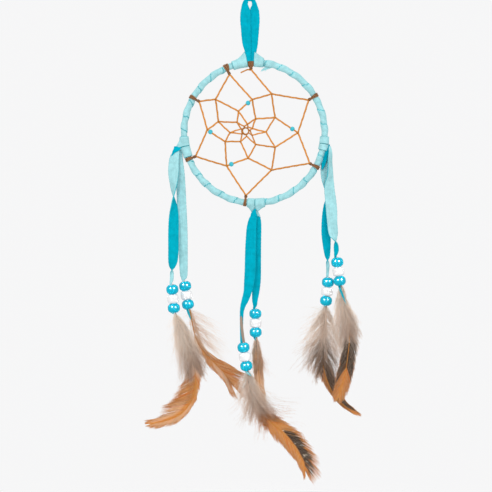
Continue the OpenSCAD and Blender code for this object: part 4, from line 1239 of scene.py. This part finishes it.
# Quill and shaft points are [x, z]. Rows for down are share of the shaft, length on the left and right, and
# a barb's angle to the shaft at its root and tip. Rows for a vane are share of the shaft, then width, root
# and tip on the left, and the same on the right.
FEATHERS = {
    "left_front": {
        "seed": 11, "horn": 0.44, "slot": "feather_orange", "paint": paint_left_front, "quill": [],
        "shaft": [[-51.8, -229], [-48.8, -237], [-45.0, -247], [-41.4, -258], [-39.2, -268],
                  [-39.4, -277], [-41.8, -286.5], [-49.4, -296.0], [-60, -301], [-70.5, -303.6]],
        "down": [
            {"count": 640, "from_to": (0.0, 0.4), "left": 0.52, "droop": 0.3,
             "rows": [[0, 14, 10, 42, 6], [0.06, 24, 17, 50, 8], [0.2, 28, 22, 48, 10],
                      [0.32, 22, 19, 46, 14], [0.4, 14, 13, 42, 16]]},
            {"count": 420, "from_to": (0.0, 0.36), "left": 0.5, "droop": 0.2, "tilt": 50,
             "rows": [[0, 14, 10, 20, 0], [0.1, 22, 20, 22, 4], [0.36, 17, 17, 26, 8]]},
            {"count": 120, "from_to": (0.0, 0.38), "left": 0.62, "droop": 0.2, "thick": 0.06,
             "hairs": 9,
             "rows": [[0, 14, 14, 64, 35], [0.15, 24, 20, 56, 26], [0.38, 25, 21, 48, 20]]}],
        "vane": {
            "from_to": (0.36, 0.995), "splits": 8, "cup": -10, "fan": 14,
            "rows": [[0.36, 5, 44, 38, 5, 30, 20], [0.42, 9, 56, 60, 3.6, 30, 16],
                     [0.5, 13, 56, 62, 2.8, 28, 12], [0.6, 16, 54, 60, 2.4, 26, 12],
                     [0.69, 15, 44, 50, 2.8, 24, 10], [0.76, 9.5, 28, 26, 3.2, 22, 10],
                     [0.82, 6.5, 20, 16, 3.4, 20, 10], [0.91, 2.8, 15, 11, 2.4, 16, 8],
                     [1, 0.9, 12, 8, 0.8, 12, 6]]}},
    "left_rear": {
        "seed": 12, "horn": -0.15, "slot": "feather_tan", "paint": paint_left_rear, "quill": [],
        "shaft": [[-42.5, -228], [-40.4, -239], [-37.4, -247], [-33.2, -253], [-26.8, -260],
                  [-19.6, -267.3], [-13.5, -276.6]],
        "down": [
            {"count": 190, "from_to": (0.0, 0.46), "left": 0.42, "droop": 0.25, "hairs": 10,
             "thick": 0.05, "tilt": 12, "fine": 0.65,
             "rows": [[0, 8, 16, 24, 0], [0.2, 12, 22, 30, 6], [0.46, 8, 14, 28, 10]]},
            {"count": 210, "from_to": (0.0, 0.38), "left": 0.1, "droop": 0.14, "thick": 0.045,
             "hairs": 6, "tilt": 14, "fine": 0.6,
             "rows": [[0, 12, 24, 70, 44], [0.16, 14, 32, 60, 34], [0.36, 10, 26, 48, 26]]},
            {"count": 40, "from_to": (0.86, 1.0), "left": 0.3, "droop": 0.7, "thick": 0.06, "hairs": 6,
             "rows": [[0.86, 10, 8, 20, 10], [1, 9, 7, 14, 5]]}],
        "vane": {
            "from_to": (0.3, 0.995), "splits": 4, "cup": 8, "fan": 18,
            "rows": [[0.3, 2, 28, 16, 2.6, 26, 14], [0.42, 3, 30, 18, 5, 28, 12],
                     [0.56, 4.4, 32, 18, 9, 34, 14], [0.7, 5.4, 32, 16, 10.5, 34, 16],
                     [0.82, 5.6, 30, 14, 7.5, 32, 18], [0.92, 5, 26, 14, 5.5, 28, 16],
                     [1, 2.6, 16, 8, 3, 16, 8]]}},
    "bottom_front": {
        "seed": 13, "horn": 0.42, "slot": "feather_orange", "paint": paint_bottom_front,
        "quill": [[-6.3, -226.5], [-6.0, -233], [-5.2, -240]],
        "shaft": [[-1.2, -272], [0.8, -281.5], [6.2, -293.0], [14.6, -302.2], [23.6, -310.5],
                  [32.0, -320.6], [37.6, -330.3], [39.6, -337.0]],
        "down": [
            {"count": 620, "from_to": (0.0, 0.44), "left": 0.48, "droop": 0.15,
             "rows": [[0, 12, 13, 46, 12], [0.08, 20, 22, 54, 18], [0.22, 20, 22, 52, 24],
                      [0.44, 12, 14, 42, 22]]},
            {"count": 320, "from_to": (0.0, 0.4), "left": 0.5, "droop": 0.1, "tilt": 50,
             "rows": [[0, 12, 13, 22, 2], [0.2, 18, 18, 24, 6], [0.4, 13, 13, 26, 8]]},
            {"count": 110, "from_to": (0.02, 0.46), "left": 0.45, "droop": 0.12, "thick": 0.07,
             "hairs": 10,
             "rows": [[0, 20, 24, 58, 34], [0.2, 27, 33, 62, 44], [0.46, 22, 30, 52, 42]]}],
        "vane": {
            "from_to": (0.34, 0.995), "splits": 8, "cup": -12, "fan": 10,
            "rows": [[0.34, 5, 36, 26, 5, 36, 26], [0.48, 7.6, 38, 24, 8.4, 42, 28],
                     [0.62, 7.4, 36, 20, 9.6, 40, 24], [0.78, 6.2, 32, 16, 9.2, 36, 20],
                     [0.9, 4.2, 26, 12, 7.0, 30, 16], [0.96, 2.6, 20, 10, 4.4, 22, 12],
                     [1, 0.7, 12, 8, 0.8, 14, 8]]}},
    "bottom_rear": {
        "seed": 14, "horn": 0.3, "slot": "feather_orange", "paint": paint_bottom_rear, "bow": 1.0,
        "quill": [],
        "shaft": [[4.9, -249], [5.4, -256], [6.2, -265], [7.0, -274], [8.0, -282], [9.2, -288]],
        "down": [
            {"count": 420, "from_to": (0.0, 0.5), "left": 0.45, "droop": 0.3,
             "rows": [[0, 8, 10, 38, 6], [0.15, 13, 15, 38, 6], [0.5, 9, 9, 28, 8]]},
            {"count": 40, "from_to": (0.1, 0.5), "left": 0.2, "thick": 0.06, "hairs": 8,
             "rows": [[0, 12, 15, 55, 40], [0.5, 14, 17, 50, 40]]}],
        "vane": {
            "from_to": (0.2, 0.995), "splits": 5, "cup": 8,
            "rows": [[0.2, 3, 28, 18, 3, 28, 18], [0.45, 4, 32, 16, 3.6, 32, 16],
                     [0.75, 3.8, 28, 14, 3.4, 28, 14], [0.9, 2.6, 22, 10, 2.4, 22, 10],
                     [1, 0.6, 12, 8, 0.6, 12, 8]]}},
    "right_front": {
        "seed": 15, "horn": 0.42, "slot": "feather_dark", "paint": paint_right_front, "quill": [],
        "shaft": [[66.0, -212], [67.8, -221.5], [70.2, -232], [71.4, -242], [70.6, -253],
                  [68.9, -264.6], [66.8, -274], [64.0, -284.0]],
        "down": [
            {"count": 620, "from_to": (0.0, 0.46), "left": 0.54, "droop": 0.3,
             "rows": [[0, 9, 8, 42, 8], [0.12, 23, 18, 50, 12], [0.3, 28, 18, 50, 14],
                      [0.46, 17, 12, 40, 14]]},
            {"count": 300, "from_to": (0.0, 0.42), "left": 0.55, "droop": 0.2, "tilt": 50,
             "rows": [[0, 11, 9, 20, 0], [0.2, 20, 16, 24, 4], [0.42, 15, 12, 24, 6]]},
            {"count": 50, "from_to": (0.1, 0.62), "left": 0.3, "thick": 0.06, "hairs": 8,
             "rows": [[0, 14, 14, 55, 30], [0.62, 16, 15, 42, 28]]}],
        "vane": {
            "from_to": (0.42, 0.995), "splits": 6, "cup": -10, "fan": 9,
            "rows": [[0.42, 5, 32, 22, 6, 36, 20], [0.55, 6.4, 34, 20, 6.2, 36, 18],
                     [0.7, 6.8, 34, 18, 5.8, 36, 18], [0.84, 5.6, 30, 16, 5.2, 32, 16],
                     [0.94, 3, 24, 12, 3, 24, 12], [1, 0.6, 12, 8, 0.6, 12, 8]]}},
    "right_rear": {
        "seed": 16, "horn": 0.42, "slot": "feather_dark", "paint": paint_right_rear, "quill": [],
        "shaft": [[54.4, -228], [53.8, -238], [52.8, -252.9], [53.6, -264.6], [57.2, -276.4],
                  [62.6, -285.8], [69.6, -292.6], [76.8, -298.0]],
        "down": [
            {"count": 680, "from_to": (0.0, 0.5), "left": 0.54, "droop": 0.2,
             "rows": [[0, 12, 12, 50, 14], [0.08, 25, 25, 58, 18], [0.22, 27, 30, 54, 20],
                      [0.5, 15, 24, 38, 20]]},
            {"count": 320, "from_to": (0.0, 0.46), "left": 0.5, "droop": 0.1, "tilt": 50,
             "rows": [[0, 14, 14, 20, 0], [0.2, 22, 20, 24, 4], [0.46, 16, 16, 22, 6]]},
            {"count": 120, "from_to": (0.0, 0.34), "left": 0.82, "droop": 0.12, "thick": 0.065,
             "hairs": 9,
             "rows": [[0, 20, 12, 82, 60], [0.15, 27, 16, 68, 48], [0.34, 26, 14, 54, 34]]}],
        "vane": {
            "from_to": (0.44, 0.995), "splits": 5, "cup": 10, "fan": 8,
            "rows": [[0.44, 5, 30, 18, 8, 40, 26], [0.56, 3.0, 28, 14, 8, 40, 30],
                     [0.7, 1.6, 20, 8, 5.6, 34, 22], [0.88, 1.3, 14, 6, 3.2, 22, 12],
                     [1, 0.5, 10, 6, 0.6, 10, 6]]}},
}

for strand, spec in FEATHERS.items():
    feather(strand, spec)
